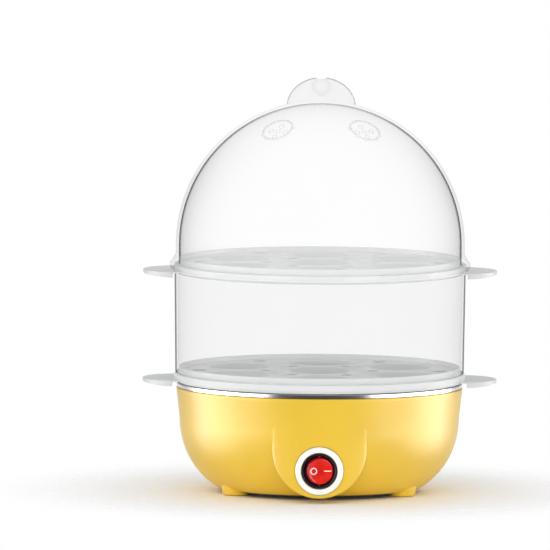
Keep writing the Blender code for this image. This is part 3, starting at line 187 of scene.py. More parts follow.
@dataclass(frozen=True)
class Finish(Surface):
    """A solid finish: plastic, rubber or metal, mottled and fine-grained by procedural noise."""

    colour: tuple[int, int, int]
    shade: tuple[int, int, int]
    roughness: tuple[float, float] = (0.25, 0.35)
    metallic: float = 0.0
    coat: float = 0.0
    grain: float = 900.0
    depth: float = 0.05
    mottle: float = 35.0
    pattern: Pattern = Pattern.MOULDED
    subsurface: float = 0.0
    anisotropy: float = 0.0
    specular: float = 0.5
    glow: float = 0.0
    tone_shares: tuple[float, float] = (0.35, 0.65)
    grain_height: float = 0.2 * MM
    coat_roughness: float = 0.04
    glow_depth: float = 2 * MM
    cast_stretch: tuple[float, float, float] = (1.0, 1.0, 0.6)

    def wire(self, tree: bpy.types.NodeTree) -> None:
        """Sets up the mottled tone, the grain and the gloss. Its argument is Surface.wire's."""
        place = grown(tree, "TexCoord", "Object")
        broad = self.noise(tree, place, self.mottle, 2.0)
        tone = grown(tree, "ValToRGB", "Color", {"Fac": broad})
        for element, share, colour in zip(tone.node.color_ramp.elements, self.tone_shares,
                                          (self.shade, self.colour)):
            element.position = share
            element.color = linear(*colour)
        fine = self.noise(tree, self.grain_place(tree, place), self.grain, 3.0)
        spread = grown(tree, "MapRange", "Result", {
            "Value": fine, "To Min": self.roughness[0], "To Max": self.roughness[1]})
        bump = grown(tree, "Bump", "Normal", {
            "Strength": self.depth, "Distance": self.grain_height, "Height": fine})
        fed(tree, tree.nodes["Principled BSDF"], {
            "Base Color": tone, "Roughness": spread, "Normal": bump,
            "Metallic": self.metallic, "Coat Weight": self.coat,
            "Coat Roughness": self.coat_roughness,
            "Subsurface Weight": self.subsurface, "Subsurface Scale": self.glow_depth,
            "Anisotropic": self.anisotropy, "Specular IOR Level": self.specular,
            "Emission Color": linear(*self.colour), "Emission Strength": self.glow})

    def noise(
        self, tree: bpy.types.NodeTree, place: bpy.types.NodeSocket, scale: float, detail: float
    ) -> bpy.types.NodeSocket:
        """Adds a noise texture.

        Args:
            tree: The node tree to add it to.
            place: The coordinates that it reads.
            scale: Its scale, per metre.
            detail: Its octaves.

        Returns:
            The noise's value, from 0 to 1.
        """
        return grown(tree, "TexNoise", "Fac", {"Scale": scale, "Detail": detail, "Vector": place})

    def grain_place(
        self, tree: bpy.types.NodeTree, place: bpy.types.NodeSocket
    ) -> bpy.types.NodeSocket:
        """Stretches the grain's coordinates where the finish is brushed round its axis.

        Args:
            tree: The node tree.
            place: The object coordinates.

        Returns:
            The coordinates for the fine grain.
        """
        if self.pattern is Pattern.MOULDED:
            return place
        if self.pattern is Pattern.CAST:
            return grown(tree, "Mapping", "Vector", {"Vector": place, "Scale": self.cast_stretch})
        split = grown(tree, "SeparateXYZ", "X", {"Vector": place}).node.outputs
        flat = grown(tree, "CombineXYZ", 0, {"X": split["X"], "Y": split["Y"]})
        reach = grown(tree, "VectorMath", "Value", {0: flat}, operation="LENGTH")
        return grown(tree, "CombineXYZ", 0, {"X": reach, "Y": split["Z"]})


@dataclass(frozen=True)
class ClearFinish(Surface):
    """A thin see-through plastic: nearly invisible face on, and greyer where it is seen edge on.

    The last few degrees can be darker still, as the edge of a clear wall is, and the haze and
    the edge line can fade towards the top: painted light, the crown drawn paler as if more brightly
    lit.
    """

    colour: tuple[int, int, int]
    faces_share: float
    edges_share: float
    roughness: float = 0.08
    cloud: float = 0.01
    steepness: float = 6.0
    specular: float = 0.5
    rim: float = 0.0
    rim_from: float = 0.83
    rim_full: float = 0.93
    mottle: float = 45.0
    # The top share and these heights paint light: haze and edge line fade towards the top, the
    # crown drawn paler as if more brightly lit.
    painted_light_top_share: float = 1.0
    haze_heights: tuple[float, float] = (150 * MM, 195 * MM)
    rim_heights: tuple[float, float] = (184 * MM, 201 * MM)

    def material(self) -> bpy.types.Material:
        """Returns the finish's material, which blends with what is behind it."""
        made = super().material()
        made.surface_render_method = "BLENDED"
        return made

    def wire(self, tree: bpy.types.NodeTree) -> None:
        """Sets up the haze and the edge line. Its argument is Surface.wire's."""
        place = grown(tree, "TexCoord", "Object")
        noise = grown(tree, "TexNoise", "Fac", {"Scale": self.mottle, "Vector": place})
        spread = grown(tree, "MapRange", "Result", {
            "Value": noise, "To Min": self.roughness, "To Max": 2 * self.roughness})
        facing = grown(tree, "LayerWeight", "Facing", {"Blend": 0.5})
        steep = grown(tree, "Math", 0, {0: facing, 1: self.steepness}, operation="POWER")
        share = grown(tree, "MapRange", "Result", {
            "Value": steep, "To Min": self.faces_share, "To Max": self.edges_share})
        # Painted light: the haze and, below, the edge line fade towards the top.
        share = self.painted_light_to_top(tree, place, share, self.haze_heights)
        haze = grown(tree, "Math", 0, {0: noise, 1: self.cloud, 2: share},
                     operation="MULTIPLY_ADD")
        line = grown(tree, "MapRange", "Result", {
            "Value": facing, "From Min": self.rim_from, "From Max": self.rim_full,
            "To Max": self.rim}, interpolation_type="SMOOTHSTEP")
        line = self.painted_light_to_top(tree, place, line, self.rim_heights)
        total = grown(tree, "Math", 0, {0: haze, 1: line}, operation="ADD", use_clamp=True)
        fed(tree, tree.nodes["Principled BSDF"], {
            "Base Color": linear(*self.colour), "Specular IOR Level": self.specular,
            "Roughness": spread, "Alpha": total})

    def painted_light_to_top(
        self, tree: bpy.types.NodeTree, place: bpy.types.NodeSocket, share: bpy.types.NodeSocket,
        heights: tuple[float, float],
    ) -> bpy.types.NodeSocket:
        """Fades the haze or the edge line out towards the top of the piece: painted light, the
        crown drawn paler as if more brightly lit.

        Args:
            tree: The material's node tree.
            place: The object coordinates.
            share: The opacity as it is low down.
            heights: Where the painted light starts and ends.

        Returns:
            The opacity at each height.
        """
        height = grown(tree, "SeparateXYZ", "Z", {"Vector": place})
        kept = grown(tree, "MapRange", "Result", {
            "Value": height, "From Min": heights[0], "From Max": heights[1],
            "To Min": 1.0, "To Max": self.painted_light_top_share}, interpolation_type="SMOOTHSTEP")
        return grown(tree, "Math", 0, {0: share, 1: kept}, operation="MULTIPLY")


YELLOW = Finish("yellow_plastic", "yellow_plastic", (234, 194, 52), (229, 188, 46),
                (0.34, 0.42), depth=0.02)
DARK = Finish("dark_plastic", "dark_plastic", (52, 52, 56), (46, 46, 50), (0.38, 0.52), depth=0.25)
WHITE = Finish("white_plastic", "white_plastic", (246, 246, 242), (242, 242, 238), (0.14, 0.2),
               coat=0.3, depth=0.02)
BLACK = Finish("black_plastic", "black_plastic", (40, 34, 40), (34, 29, 34), (0.2, 0.3), depth=0.05)
RED = Finish("red_plastic", "red_plastic", (218, 26, 4), (186, 10, 8), (0.14, 0.24), depth=0.06,
             mottle=160.0, specular=0.45, glow=0.1)
# The rocker's flanks in a darker red without glow: painted shade, where its sides fall into shadow.
RED_FLANK_PAINTED_SHADE = Finish("red_flank_painted_shade", "red_plastic", (128, 8, 18), (112, 6, 16), (0.12, 0.18),
                   depth=0.02, specular=0.3)
MARK = Finish("mark_print", "white_plastic", (250, 240, 232), (244, 232, 224), (0.35, 0.45))
STEEL = Finish("steel", "steel", (204, 204, 206), (194, 194, 197), (0.14, 0.24), metallic=1.0,
               grain=2500.0, depth=0.04, pattern=Pattern.BRUSHED_ROUND, anisotropy=0.4)
ZINC = Finish("screw_steel", "steel", (196, 196, 192), (182, 182, 180), (0.24, 0.36), metallic=1.0)
ALUMINIUM = Finish("aluminium", "aluminium", (206, 208, 211), (194, 196, 200), (0.34, 0.48),
                   metallic=1.0, depth=0.2, pattern=Pattern.CAST)
ELEMENT = Finish("element_steel", "element_steel", (126, 120, 118), (104, 98, 98), (0.36, 0.5),
                 metallic=1.0, depth=0.1)
PHENOLIC = Finish("phenolic", "phenolic", (42, 42, 44), (35, 35, 38), (0.42, 0.58), depth=0.15)
CERAMIC = Finish("ceramic", "ceramic", (234, 231, 224), (228, 224, 216), (0.2, 0.3), coat=0.3)
RUBBER = Finish("rubber", "rubber", (50, 50, 53), (44, 44, 47), (0.5, 0.66), depth=0.2)
SILICONE = Finish("silicone", "silicone", (206, 208, 208), (198, 201, 202), (0.42, 0.54),
                  subsurface=0.3)
LEAD_RED = Finish("lead_red", "lead_red", (190, 34, 28), (180, 30, 25), (0.3, 0.42))
LEAD_BLUE = Finish("lead_blue", "lead_blue", (40, 78, 170), (36, 72, 160), (0.3, 0.42))
LEAD_WHITE = Finish("lead_white", "lead_white", (228, 228, 224), (214, 214, 208), (0.7, 0.85),
                    depth=0.5, grain=1800.0)
LAMP_GLASS = ClearFinish("lamp_glass", "lamp_glass", (255, 200, 170), 0.35, 0.8)
BRASS = Finish("brass", "brass", (206, 178, 110), (196, 166, 98), (0.22, 0.34), metallic=1.0)
FROSTED = ClearFinish("frosted_plastic", "frosted_plastic", (244, 245, 245), 0.66, 0.95, 0.3,
                      0.05, 3.0, 0.2)
# The ears' copy of the tray's frosted plastic: greyer, which is painted shade, and more opaque face
# on.
FROSTED_EAR_PAINTED_SHADE = ClearFinish("frosted_ear_painted_shade", "frosted_plastic", (216, 218, 220), 0.8, 0.98, 0.3,
                          0.05, 3.0, 0.3)
# The dome's outer and inner faces keep only 0.4 of their haze at the crown: painted light.
CLEAR_DOME = ClearFinish("clear_dome", "clear_plastic", (62, 64, 68), 0.001, 0.18, cloud=0.004,
                         steepness=3.2, specular=0.0, painted_light_top_share=0.4)
CLEAR_INSIDE = ClearFinish("clear_inside", "clear_plastic", (78, 80, 84), 0.002, 0.3,
                           cloud=0.004, steepness=3.0, specular=0.0, rim=0.45, rim_from=0.8,
                           rim_full=0.9, painted_light_top_share=0.4)
CLEAR_GRIP = ClearFinish("clear_grip", "clear_plastic", (124, 126, 129), 0.055, 0.95, steepness=1.0,
                         specular=0.2)
CLEAR_VENT = ClearFinish("clear_vent", "clear_plastic", (128, 130, 133), 0.075, 0.8, steepness=3.0,
                         specular=0.2)
CLEAR_RING = ClearFinish("clear_ring", "clear_plastic", (14, 15, 18), 0.014, 0.1, steepness=4.0,
                         specular=0.0, rim=0.47, rim_from=0.81, rim_full=0.91)
RING_INSIDE = ClearFinish("ring_inside", "clear_plastic", (150, 152, 155), 0.03, 0.16,
                          steepness=3.0, specular=0.0)


# Profiles and meshes


@dataclass(frozen=True)
class Corner:
    """A corner of a turned profile: how far out and how high, and the radius that rounds it."""

    out: float
    up: float
    soft: float = 0.0


def rounded(corners: list[Corner], closed: bool = True, segments: int = 4) -> list[Vector]:
    """Rounds the corners of a profile.

    Args:
        corners: The corners, in order, in metres.
        closed: Whether the last corner runs on to the first.
        segments: How many edges a rounding has.

    Returns:
        The profile's points in the plane of X and Z.
    """
    points: list[Vector] = []
    count = len(corners)
    for index, corner in enumerate(corners):
        here = Vector((corner.out, 0, corner.up))
        ends = not closed and index in (0, count - 1)
        if corner.soft == 0 or ends:
            points.append(here)
            continue
        before = corners[index - 1]
        after = corners[(index + 1) % count]
        back = Vector((before.out, 0, before.up)) - here
        on = Vector((after.out, 0, after.up)) - here
        half = acos(max(-1.0, min(1.0, back.normalized().dot(on.normalized())))) / 2
        run = min(corner.soft / tan(half), 0.49 * back.length, 0.49 * on.length)
        soft = run * tan(half)
        middle = here + (back.normalized() + on.normalized()).normalized() * (soft / sin(half))
        first = here + back.normalized() * run - middle
        last = here + on.normalized() * run - middle
        for step in range(segments + 1):
            points.append(middle + first.slerp(last, step / segments).normalized() * soft)
    return points


def turned(points: list[Vector], steps: int = FINE_STEPS, closed: bool = True) -> bmesh.types.BMesh:
    """Turns a profile round the Z axis.

    Args:
        points: The profile, in the plane of X and Z.
        steps: How many steps go round.
        closed: Whether the profile is a loop. An open one starts and ends on the axis.

    Returns:
        A closed mesh whose faces point outwards.
    """
    bm = bmesh.new()
    verts = [bm.verts.new(point) for point in points]
    edges = [bm.edges.new(pair) for pair in zip(verts, verts[1:])]
    if closed:
        edges.append(bm.edges.new((verts[-1], verts[0])))
    bmesh.ops.spin(bm, geom=verts + edges, cent=(0, 0, 0), axis=(0, 0, 1), angle=FULL_TURN,
                   steps=steps, use_merge=True)
    bmesh.ops.remove_doubles(bm, verts=bm.verts[:], dist=MERGE)
    bmesh.ops.recalc_face_normals(bm, faces=bm.faces[:])
    return bm


def rod(start: Vector, end: Vector, radius: float, far_radius: float | None = None,
        steps: int = SMALL_STEPS, soft: float = 0.0) -> bmesh.types.BMesh:
    """Makes a round bar or cone between two points.

    Args:
        start: The middle of its first end.
        end: The middle of its other end.
        radius: Its radius at the start.
        far_radius: Its radius at the end, where that differs.
        steps: How many steps go round.
        soft: The radius that rounds both ends' edges.

    Returns:
        The closed bar.
    """
    far = radius if far_radius is None else far_radius
    length = (end - start).length
    corners = [Corner(0, 0), Corner(radius, 0, soft), Corner(far, length, soft), Corner(0, length)]
    bm = turned(rounded(corners, closed=False, segments=3), steps, closed=False)
    turn = (end - start).to_track_quat("Z", "Y").to_matrix().to_4x4()
    bmesh.ops.transform(bm, matrix=Matrix.Translation(start) @ turn, verts=bm.verts[:])
    return bm


def block(low: Vector, high: Vector, soft: float = 0.0, segments: int = 3) -> bmesh.types.BMesh:
    """Makes a box with rounded edges.

    Args:
        low: Its lowest corner.
        high: Its highest corner.
        soft: The radius of its edges.
        segments: How many faces round an edge.

    Returns:
        The closed box.
    """
    bm = bmesh.new()
    bmesh.ops.create_cube(bm, size=1.0)
    size = high - low
    bmesh.ops.scale(bm, vec=size, verts=bm.verts[:])
    shifted(bm, (low + high) / 2)
    return softened(bm, bm.edges[:], soft, segments) if soft > 0 else bm


def slab(outline: list[Vector], lift: Vector) -> bmesh.types.BMesh:
    """Extrudes a flat outline.

    Args:
        outline: The points round its first face.
        lift: How far, and which way, it is drawn out.

    Returns:
        The closed slab.
    """
    bm = bmesh.new()
    face = bm.faces.new([bm.verts.new(point) for point in outline])
    drawn = bmesh.ops.extrude_face_region(bm, geom=[face])["geom"]
    moved = [part for part in drawn if isinstance(part, bmesh.types.BMVert)]
    bmesh.ops.translate(bm, vec=lift, verts=moved)
    bmesh.ops.recalc_face_normals(bm, faces=bm.faces[:])
    return bm


def joined(*parts: bmesh.types.BMesh) -> bmesh.types.BMesh:
    """Puts several meshes into one, and frees them.

    Args:
        *parts: The meshes.

    Returns:
        One mesh with all of their faces.
    """
    whole = bmesh.new()
    for part in parts:
        held = bpy.data.meshes.new("held")
        part.to_mesh(held)
        part.free()
        whole.from_mesh(held)
        bpy.data.meshes.remove(held)
    return whole


def polar(radius: float, angle: float, up: float = 0.0) -> Vector:
    """Returns the point at a radius and an angle about Z, in radians, and a height."""
    return Vector((radius * cos(angle), radius * sin(angle), up))


def ring_of(count: int, radius: float, first: float, up: float = 0.0) -> list[Vector]:
    """Returns evenly spread places on a circle about Z.

    Args:
        count: How many places there are.
        radius: The circle's radius.
        first: The angle of the first place.
        up: Their height.

    Returns:
        The places.
    """
    return [polar(radius, first + FULL_TURN * index / count, up) for index in range(count)]


def shifted(bm: bmesh.types.BMesh, way: Vector) -> bmesh.types.BMesh:
    """Moves a mesh, and returns it."""
    bmesh.ops.translate(bm, vec=way, verts=bm.verts[:])
    return bm


def swung(bm: bmesh.types.BMesh, angle: float) -> bmesh.types.BMesh:
    """Turns a mesh about Z by an angle in radians, and returns it."""
    bmesh.ops.rotate(bm, cent=(0, 0, 0), matrix=Matrix.Rotation(angle, 3, "Z"), verts=bm.verts[:])
    return bm


def softened(bm: bmesh.types.BMesh, edges: list[bmesh.types.BMEdge], radius: float,
             segments: int = 3) -> bmesh.types.BMesh:
    """Rounds some edges of a mesh, and returns it.

    Args:
        bm: The mesh.
        edges: The edges.
        radius: How far from an edge the rounding starts.
        segments: How many faces round an edge.

    Returns:
        The same mesh.
    """
    bmesh.ops.bevel(bm, geom=edges, offset=radius, segments=segments, profile=0.5,
                    affect="EDGES", material=-1)
    return bm


def strewn(corners: list[Corner], places: list[Vector], segments: int = 4) -> bmesh.types.BMesh:
    """Turns an open profile once for each place, and moves it there.

    Args:
        corners: The profile's corners, from axis to axis.
        places: Where the rounds stand.
        segments: How many edges a rounding has.

    Returns:
        All of them as one mesh.
    """
    points = rounded(corners, closed=False, segments=segments)
    return joined(*[shifted(turned(points, ROUND_STEPS, closed=False), place)
                    for place in places])


def carved(bm: bmesh.types.BMesh, other: bmesh.types.BMesh, operation: Carve
           ) -> bmesh.types.BMesh:
    """Cuts one mesh by another, joins them into one skin, or keeps what they share.

    Args:
        bm: The mesh that is kept.
        other: The mesh that cuts it or joins it.
        operation: What is done.

    Returns:
        The new mesh. Both others are freed.
    """
    objects = []
    for label, part in (("kept", bm), ("tool", other)):
        mesh = bpy.data.meshes.new(label)
        part.to_mesh(mesh)
        part.free()
        objects.append(bpy.data.objects.new(label, mesh))
        bpy.context.scene.collection.objects.link(objects[-1])
    modifier = objects[0].modifiers.new(operation.name, "BOOLEAN")
    modifier.operation = operation.value
    modifier.solver = "EXACT"
    modifier.object = objects[1]
    graph = bpy.context.evaluated_depsgraph_get()
    result = bmesh.new()
    result.from_object(objects[0], graph)
    for made in objects:
        mesh = made.data
        bpy.data.objects.remove(made)
        bpy.data.meshes.remove(mesh)
    return result


def tell_apart(piece: bpy.types.Object, finish: Surface,
               chosen: Callable[[Vector, Vector], bool]) -> None:
    """Gives some faces of a piece a finish of their own.

    Args:
        piece: The piece.
        finish: The finish.
        chosen: Tells by a face's middle and normal whether it gets the finish.
    """
    piece.data.materials.append(finish.material())
    last = len(piece.data.materials) - 1
    for polygon in piece.data.polygons:
        if chosen(polygon.center, polygon.normal):
            polygon.material_index = last


def settle(bm: bmesh.types.BMesh, name: str, finish: Surface, body: Body,
           stands_for: tuple[str, ...] = (), sharp: float = SHARP) -> bpy.types.Object:
    """Makes a finished piece of a mesh, and gives it its body and its finish.

    Args:
        bm: The mesh, in place. It is freed.
        name: The piece's name.
        finish: What it is made of.
        body: The CAD body that it rides on.
        stands_for: The CAD nodes that it replaces.
        sharp: Edges that turn by more than this stay sharp.

    Returns:
        The piece.
    """
    mesh = bpy.data.meshes.new(name)
    bm.to_mesh(mesh)
    bm.free()
    for polygon in mesh.polygons:
        polygon.use_smooth = True
    mesh.set_sharp_from_angle(angle=sharp)
    mesh.materials.append(finish.material())
    piece = bpy.data.objects.new(name, mesh)
    bpy.context.scene.collection.objects.link(piece)
    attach(piece, body.value)
    if stands_for:
        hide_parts(*stands_for)
    LOG.info("%s: %d faces, on %s", name, len(mesh.polygons), body.value)
    return piece


# The base


@dataclass
class Housing:
    """The moulded yellow base, with its raised switch front, feet and inner posts."""

    top: float = 54.0 * MM
    bottom: float = 2.3 * MM
    top_r: float = 74.0 * MM
    draft: float = 1.8 * MM
    belly_z: float = 38.0 * MM
    belly_reach: float = 35.5 * MM
    belly_depth: float = 40.0 * MM
    wall: float = 2.2 * MM
    ledge_r: float = 69.8 * MM
    ledge_depth: float = 2.5 * MM
    lead_in: float = 1.0 * MM
    lead_in_depth: float = 0.4 * MM
    brow: float = 3.0 * MM
    recess_r: float = 49.0 * MM
    recess_top: float = 3.4 * MM
    floor_top: float = 5.4 * MM
    opening_r: float = 41.0 * MM
    edge: float = 0.7 * MM
    boss_r: float = 72.3 * MM
    boss_half: float = 24.3 * MM
    boss_mid: float = 26.9 * MM
    boss_top: float = 48.0 * MM
    boss_back: float = 50.0 * MM
    boss_edge: float = 1.5 * MM
    boss_slices: int = 40
    pocket_r: float = 12.65 * MM
    pocket_face: float = 70.9 * MM
    switch_z: float = 17.0 * MM
    hole_r: float = 8.6 * MM
    panel: float = 2.5 * MM
    foot_r: float = 6.6 * MM
    foot_top_r: float = 7.8 * MM
    foot_top: float = 8.0 * MM
    counterbore_r: float = 3.1 * MM
    counterbore: float = 6.0 * MM
    cable_z: float = 19.0 * MM
    cable_pad_r: float = 9.5 * MM
    cable_face: float = 66.5 * MM
    cable_hole_r: float = 5.2 * MM
    tie_post: float = 21.0 * MM
    tie_post_r: float = 4.5 * MM
    tie_post_top_r: float = 4.1 * MM
    cover_post: float = 7.0 * MM
    cover_post_r: float = 3.2 * MM
    cover_post_top_r: float = 3.0 * MM
    post_sink: float = 0.4 * MM
    overrun: float = 6.0 * MM

    def belly(self, inset: float, steps: int = 26) -> list[Vector]:
        """Works out the ellipse through which the wall turns in below.

        Args:
            inset: How far inside the outer face the curve lies.
            steps: How many edges it has, down to the level of the floor.

        Returns:
            Points from the belly's widest place down to the foot of the wall.
        """
        core = self.top_r - self.draft - self.belly_reach
        reach = self.belly_reach - inset
        depth = self.belly_depth - inset
        foot = self.bottom if inset == 0 else self.floor_top
        last = acos(sqrt(1 - ((self.belly_z - foot) / depth) ** 2))
        turns = [last * step / steps for step in range(steps + 1)]
        return [Vector((core + reach * cos(a), 0, self.belly_z - depth * sin(a))) for a in turns]

    def block_of_base(self) -> bmesh.types.BMesh:
        """Makes the turned outside of the base, still solid."""
        slope = self.draft / (self.top - self.belly_z)
        top = rounded([Corner(self.top_r - self.brow * slope, self.top - self.brow),
                       Corner(self.top_r, self.top, self.edge), Corner(0, self.top)],
                      closed=False)
        foot = [Vector((0, 0, self.bottom))]
        return turned(foot + self.belly(0)[::-1] + top, closed=False)

    def hollow(self) -> bmesh.types.BMesh:
        """Makes what is cut from the base: its room, the opening below and the cover's seat."""
        slope = self.draft / (self.top - self.belly_z)
        below = self.top - self.ledge_depth
        over = self.top + self.overrun
        seat = [Corner(0, -self.overrun), Corner(self.recess_r, -self.overrun),
                Corner(self.recess_r, self.recess_top), Corner(self.opening_r, self.recess_top),
                Corner(self.opening_r, self.floor_top)]
        inner = self.belly(self.wall)[::-1]
        inner_r = self.top_r - self.wall - slope * (self.top - below)
        rim = [Corner(inner_r, below), Corner(self.ledge_r, below),
               Corner(self.ledge_r, self.top - self.lead_in_depth),
               Corner(self.ledge_r + self.lead_in, self.top - self.lead_in_depth + self.lead_in),
               Corner(self.ledge_r + self.lead_in, over), Corner(0, over)]
        points = [Vector((corner.out, 0, corner.up)) for corner in seat]
        points += inner + [Vector((corner.out, 0, corner.up)) for corner in rim]
        return turned(points, closed=False)

    def boss(self) -> bmesh.types.BMesh:
        """Makes the raised U on the front, its face bent round the base's axis."""
        arc = [pi + pi * step / 24 for step in range(25)]
        outline = [Vector((self.boss_half * cos(a), -self.boss_back,
                           self.boss_mid + self.boss_half * sin(a))) for a in arc]
        outline.insert(0, Vector((-self.boss_half, -self.boss_back, self.boss_top)))
        outline.append(Vector((self.boss_half, -self.boss_back, self.boss_top)))
        bm = slab(outline, Vector((0, self.boss_back - self.boss_r, 0)))
        front = [edge for edge in bm.edges
                 if all(abs(vert.co.y + self.boss_r) < MERGE for vert in edge.verts)]
        softened(bm, front, self.boss_edge, 4)
        for index in range(1, self.boss_slices):
            across = self.boss_half * (2 * index / self.boss_slices - 1)
            geom = bm.verts[:] + bm.edges[:] + bm.faces[:]
            bmesh.ops.bisect_plane(bm, geom=geom, dist=MERGE, plane_co=(across, 0, 0),
                                   plane_no=(1, 0, 0))
        for vert in bm.verts:
            back = self.boss_r - sqrt(self.boss_r ** 2 - vert.co.x ** 2)
            share = (-vert.co.y - self.boss_back) / (self.boss_r - self.boss_back)
            vert.co.y += back * max(0.0, share)
        bmesh.ops.recalc_face_normals(bm, faces=bm.faces[:])
        return bm

    def room(self) -> bmesh.types.BMesh:
        """Makes the room behind the boss that is cut out again, with a panel left in front."""
        start = -self.boss_back + self.overrun
        half = self.boss_half - self.wall
        low = asin(min(1.0, (self.boss_mid - self.floor_top) / half))
        arc = [pi + low * step / 12 for step in range(13)]
        arc += [2 * pi - low + low * step / 12 for step in range(13)]
        outline = [Vector((half * cos(a), start, self.boss_mid + half * sin(a))) for a in arc]
        outline.insert(0, Vector((-half, start, self.boss_top - self.wall)))
        outline.append(Vector((half, start, self.boss_top - self.wall)))
        return slab(outline, Vector((0, -self.pocket_face + self.panel - start, 0)))

    def cable_pad(self) -> bmesh.types.BMesh:
        """Makes the flat pad inside the wall, behind the cable entry."""
        face = Vector((0, self.cable_face - self.wall, self.cable_z))
        return rod(face, face + Vector((0, self.wall, 0)), self.cable_pad_r + self.wall,
                   steps=ROUND_STEPS)

    def cutters(self) -> bmesh.types.BMesh:
        """Makes all that is bored out: switch pocket and hole, cable entry, foot screws."""
        way = Vector((0, -1, 0))
        middle = Vector((0, 0, self.switch_z))
        pocket = rod(middle + way * self.pocket_face, middle + way * (self.top_r + self.overrun),
                     self.pocket_r, steps=DISC_STEPS)
        hole = rod(middle + way * (self.pocket_face - 2 * self.panel),
                   middle + way * self.top_r, self.hole_r, steps=ROUND_STEPS)
        entry = Vector((0, 0, self.cable_z))
        back = Vector((0, 1, 0))
        recess = rod(entry + back * self.cable_face, entry + back * (self.top_r + self.overrun),
                     self.cable_pad_r, steps=ROUND_STEPS)
        bore = rod(entry + back * (self.cable_face - self.overrun), entry + back * self.top_r,
                   self.cable_hole_r, steps=ROUND_STEPS)
        screws = [rod(place, place + UP * (self.counterbore + self.overrun), self.counterbore_r)
                  for place in ring_of(3, FOOT_PLACE_R, pi / 2, -self.overrun)]
        switch_hole = carved(carved(pocket, hole, Carve.JOIN), self.room(), Carve.JOIN)
        return joined(switch_hole, carved(recess, bore, Carve.JOIN), *screws)

    def feet(self) -> bmesh.types.BMesh:
        """Makes the three round feet, as one mesh."""
        corners = [Corner(0, 0), Corner(self.foot_r, 0, 1.0 * MM),
                   Corner(self.foot_top_r, self.foot_top), Corner(0, self.foot_top)]
        return strewn(corners, ring_of(3, FOOT_PLACE_R, pi / 2))

    def posts(self) -> bmesh.types.BMesh:
        """Makes the screw posts inside, which stand on the floor."""
        foot = self.floor_top - self.post_sink
        ties = [rod(place, place + UP * self.tie_post, self.tie_post_r, self.tie_post_top_r)
                for place in ring_of(3, FOOT_PLACE_R, pi / 2, foot)]
        covers = [rod(place, place + UP * self.cover_post, self.cover_post_r,
                      self.cover_post_top_r)
                  for place in ring_of(3, COVER_PLACE_R, -pi / 2, foot)]
        return joined(*ties, *covers)

    def dress(self) -> None:
        """Builds the housing as one skin, in place of the CAD's."""
        skin = carved(self.block_of_base(), self.boss(), Carve.JOIN)
        skin = carved(skin, self.hollow(), Carve.CUT)
        skin = carved(skin, self.feet(), Carve.JOIN)
        skin = carved(skin, self.cable_pad(), Carve.JOIN)
        skin = carved(skin, self.cutters(), Carve.CUT)
        settle(joined(skin, self.posts()), "housing", YELLOW, Body.BASE, ("base_housing",))


@dataclass
class BottomCover:
    """The dark cover below, with its air slots and three countersunk screws."""

    radius: float = 48.7 * MM
    low: float = 1.3 * MM
    high: float = 3.1 * MM
    spigot_r: float = 40.6 * MM
    spigot_bore_r: float = 39.0 * MM
    spigot_top: float = 5.2 * MM
    slot_inner_r: float = 12.0 * MM
    slot_outer_r: float = 32.0 * MM
    slot_width: float = 2.6 * MM
    slot_start: float = -2 * MM
    slot_end: float = 8 * MM
    groove_r: float = 20.0 * MM
    groove_outer_r: float = 23.0 * MM
    groove_depth: float = 0.3 * MM
    notch_r: float = 8.1 * MM
    notch_height: float = 12 * MM
    seat_low_r: float = 3.1 * MM
    seat_high_r: float = 1.6 * MM
    seat_depth: float = 1.5 * MM
    edge: float = 0.4 * MM

    def plate(self) -> bmesh.types.BMesh:
        """Makes the turned plate with its spigot and a shallow round groove below."""
        low, dip = self.low, self.groove_depth
        start, end = self.groove_r, self.groove_outer_r
        corners = [Corner(0, low), Corner(start, low), Corner(start + dip, low + dip),
                   Corner(end - dip, low + dip), Corner(end, low),
                   Corner(self.radius, low, self.edge),
                   Corner(self.radius, self.high), Corner(self.spigot_r, self.high),
                   Corner(self.spigot_r, self.spigot_top, self.edge),
                   Corner(self.spigot_bore_r, self.spigot_top, self.edge),
                   Corner(self.spigot_bore_r, self.high), Corner(0, self.high)]
        return turned(rounded(corners, closed=False), closed=False)

    def cutters(self) -> bmesh.types.BMesh:
        """Makes what is cut: six air slots, three foot notches and three screw seats."""
        parts = []
        half = self.slot_width / 2
        for index in range(6):
            angle = radians(30 + 60 * index)
            slot = block(Vector((self.slot_inner_r, -half, self.slot_start)),
                         Vector((self.slot_outer_r, half, self.slot_end)), half * 0.98, 4)
            parts.append(swung(slot, angle))
        for place in ring_of(3, FOOT_PLACE_R, pi / 2, self.slot_start):
            parts.append(rod(place, place + UP * self.notch_height, self.notch_r,
                             steps=ROUND_STEPS))
        for place in ring_of(3, COVER_PLACE_R, -pi / 2, self.low - 0.1 * MM):
            parts.append(rod(place, place + UP * self.seat_depth, self.seat_low_r,
                             self.seat_high_r))
        return joined(*parts)

    def dress(self) -> None:
        """Builds the cover in place of the CAD's."""
        skin = carved(self.plate(), self.cutters(), Carve.CUT)
        settle(skin, "bottom_cover_skin", DARK, Body.BASE, ("bottom_cover",))


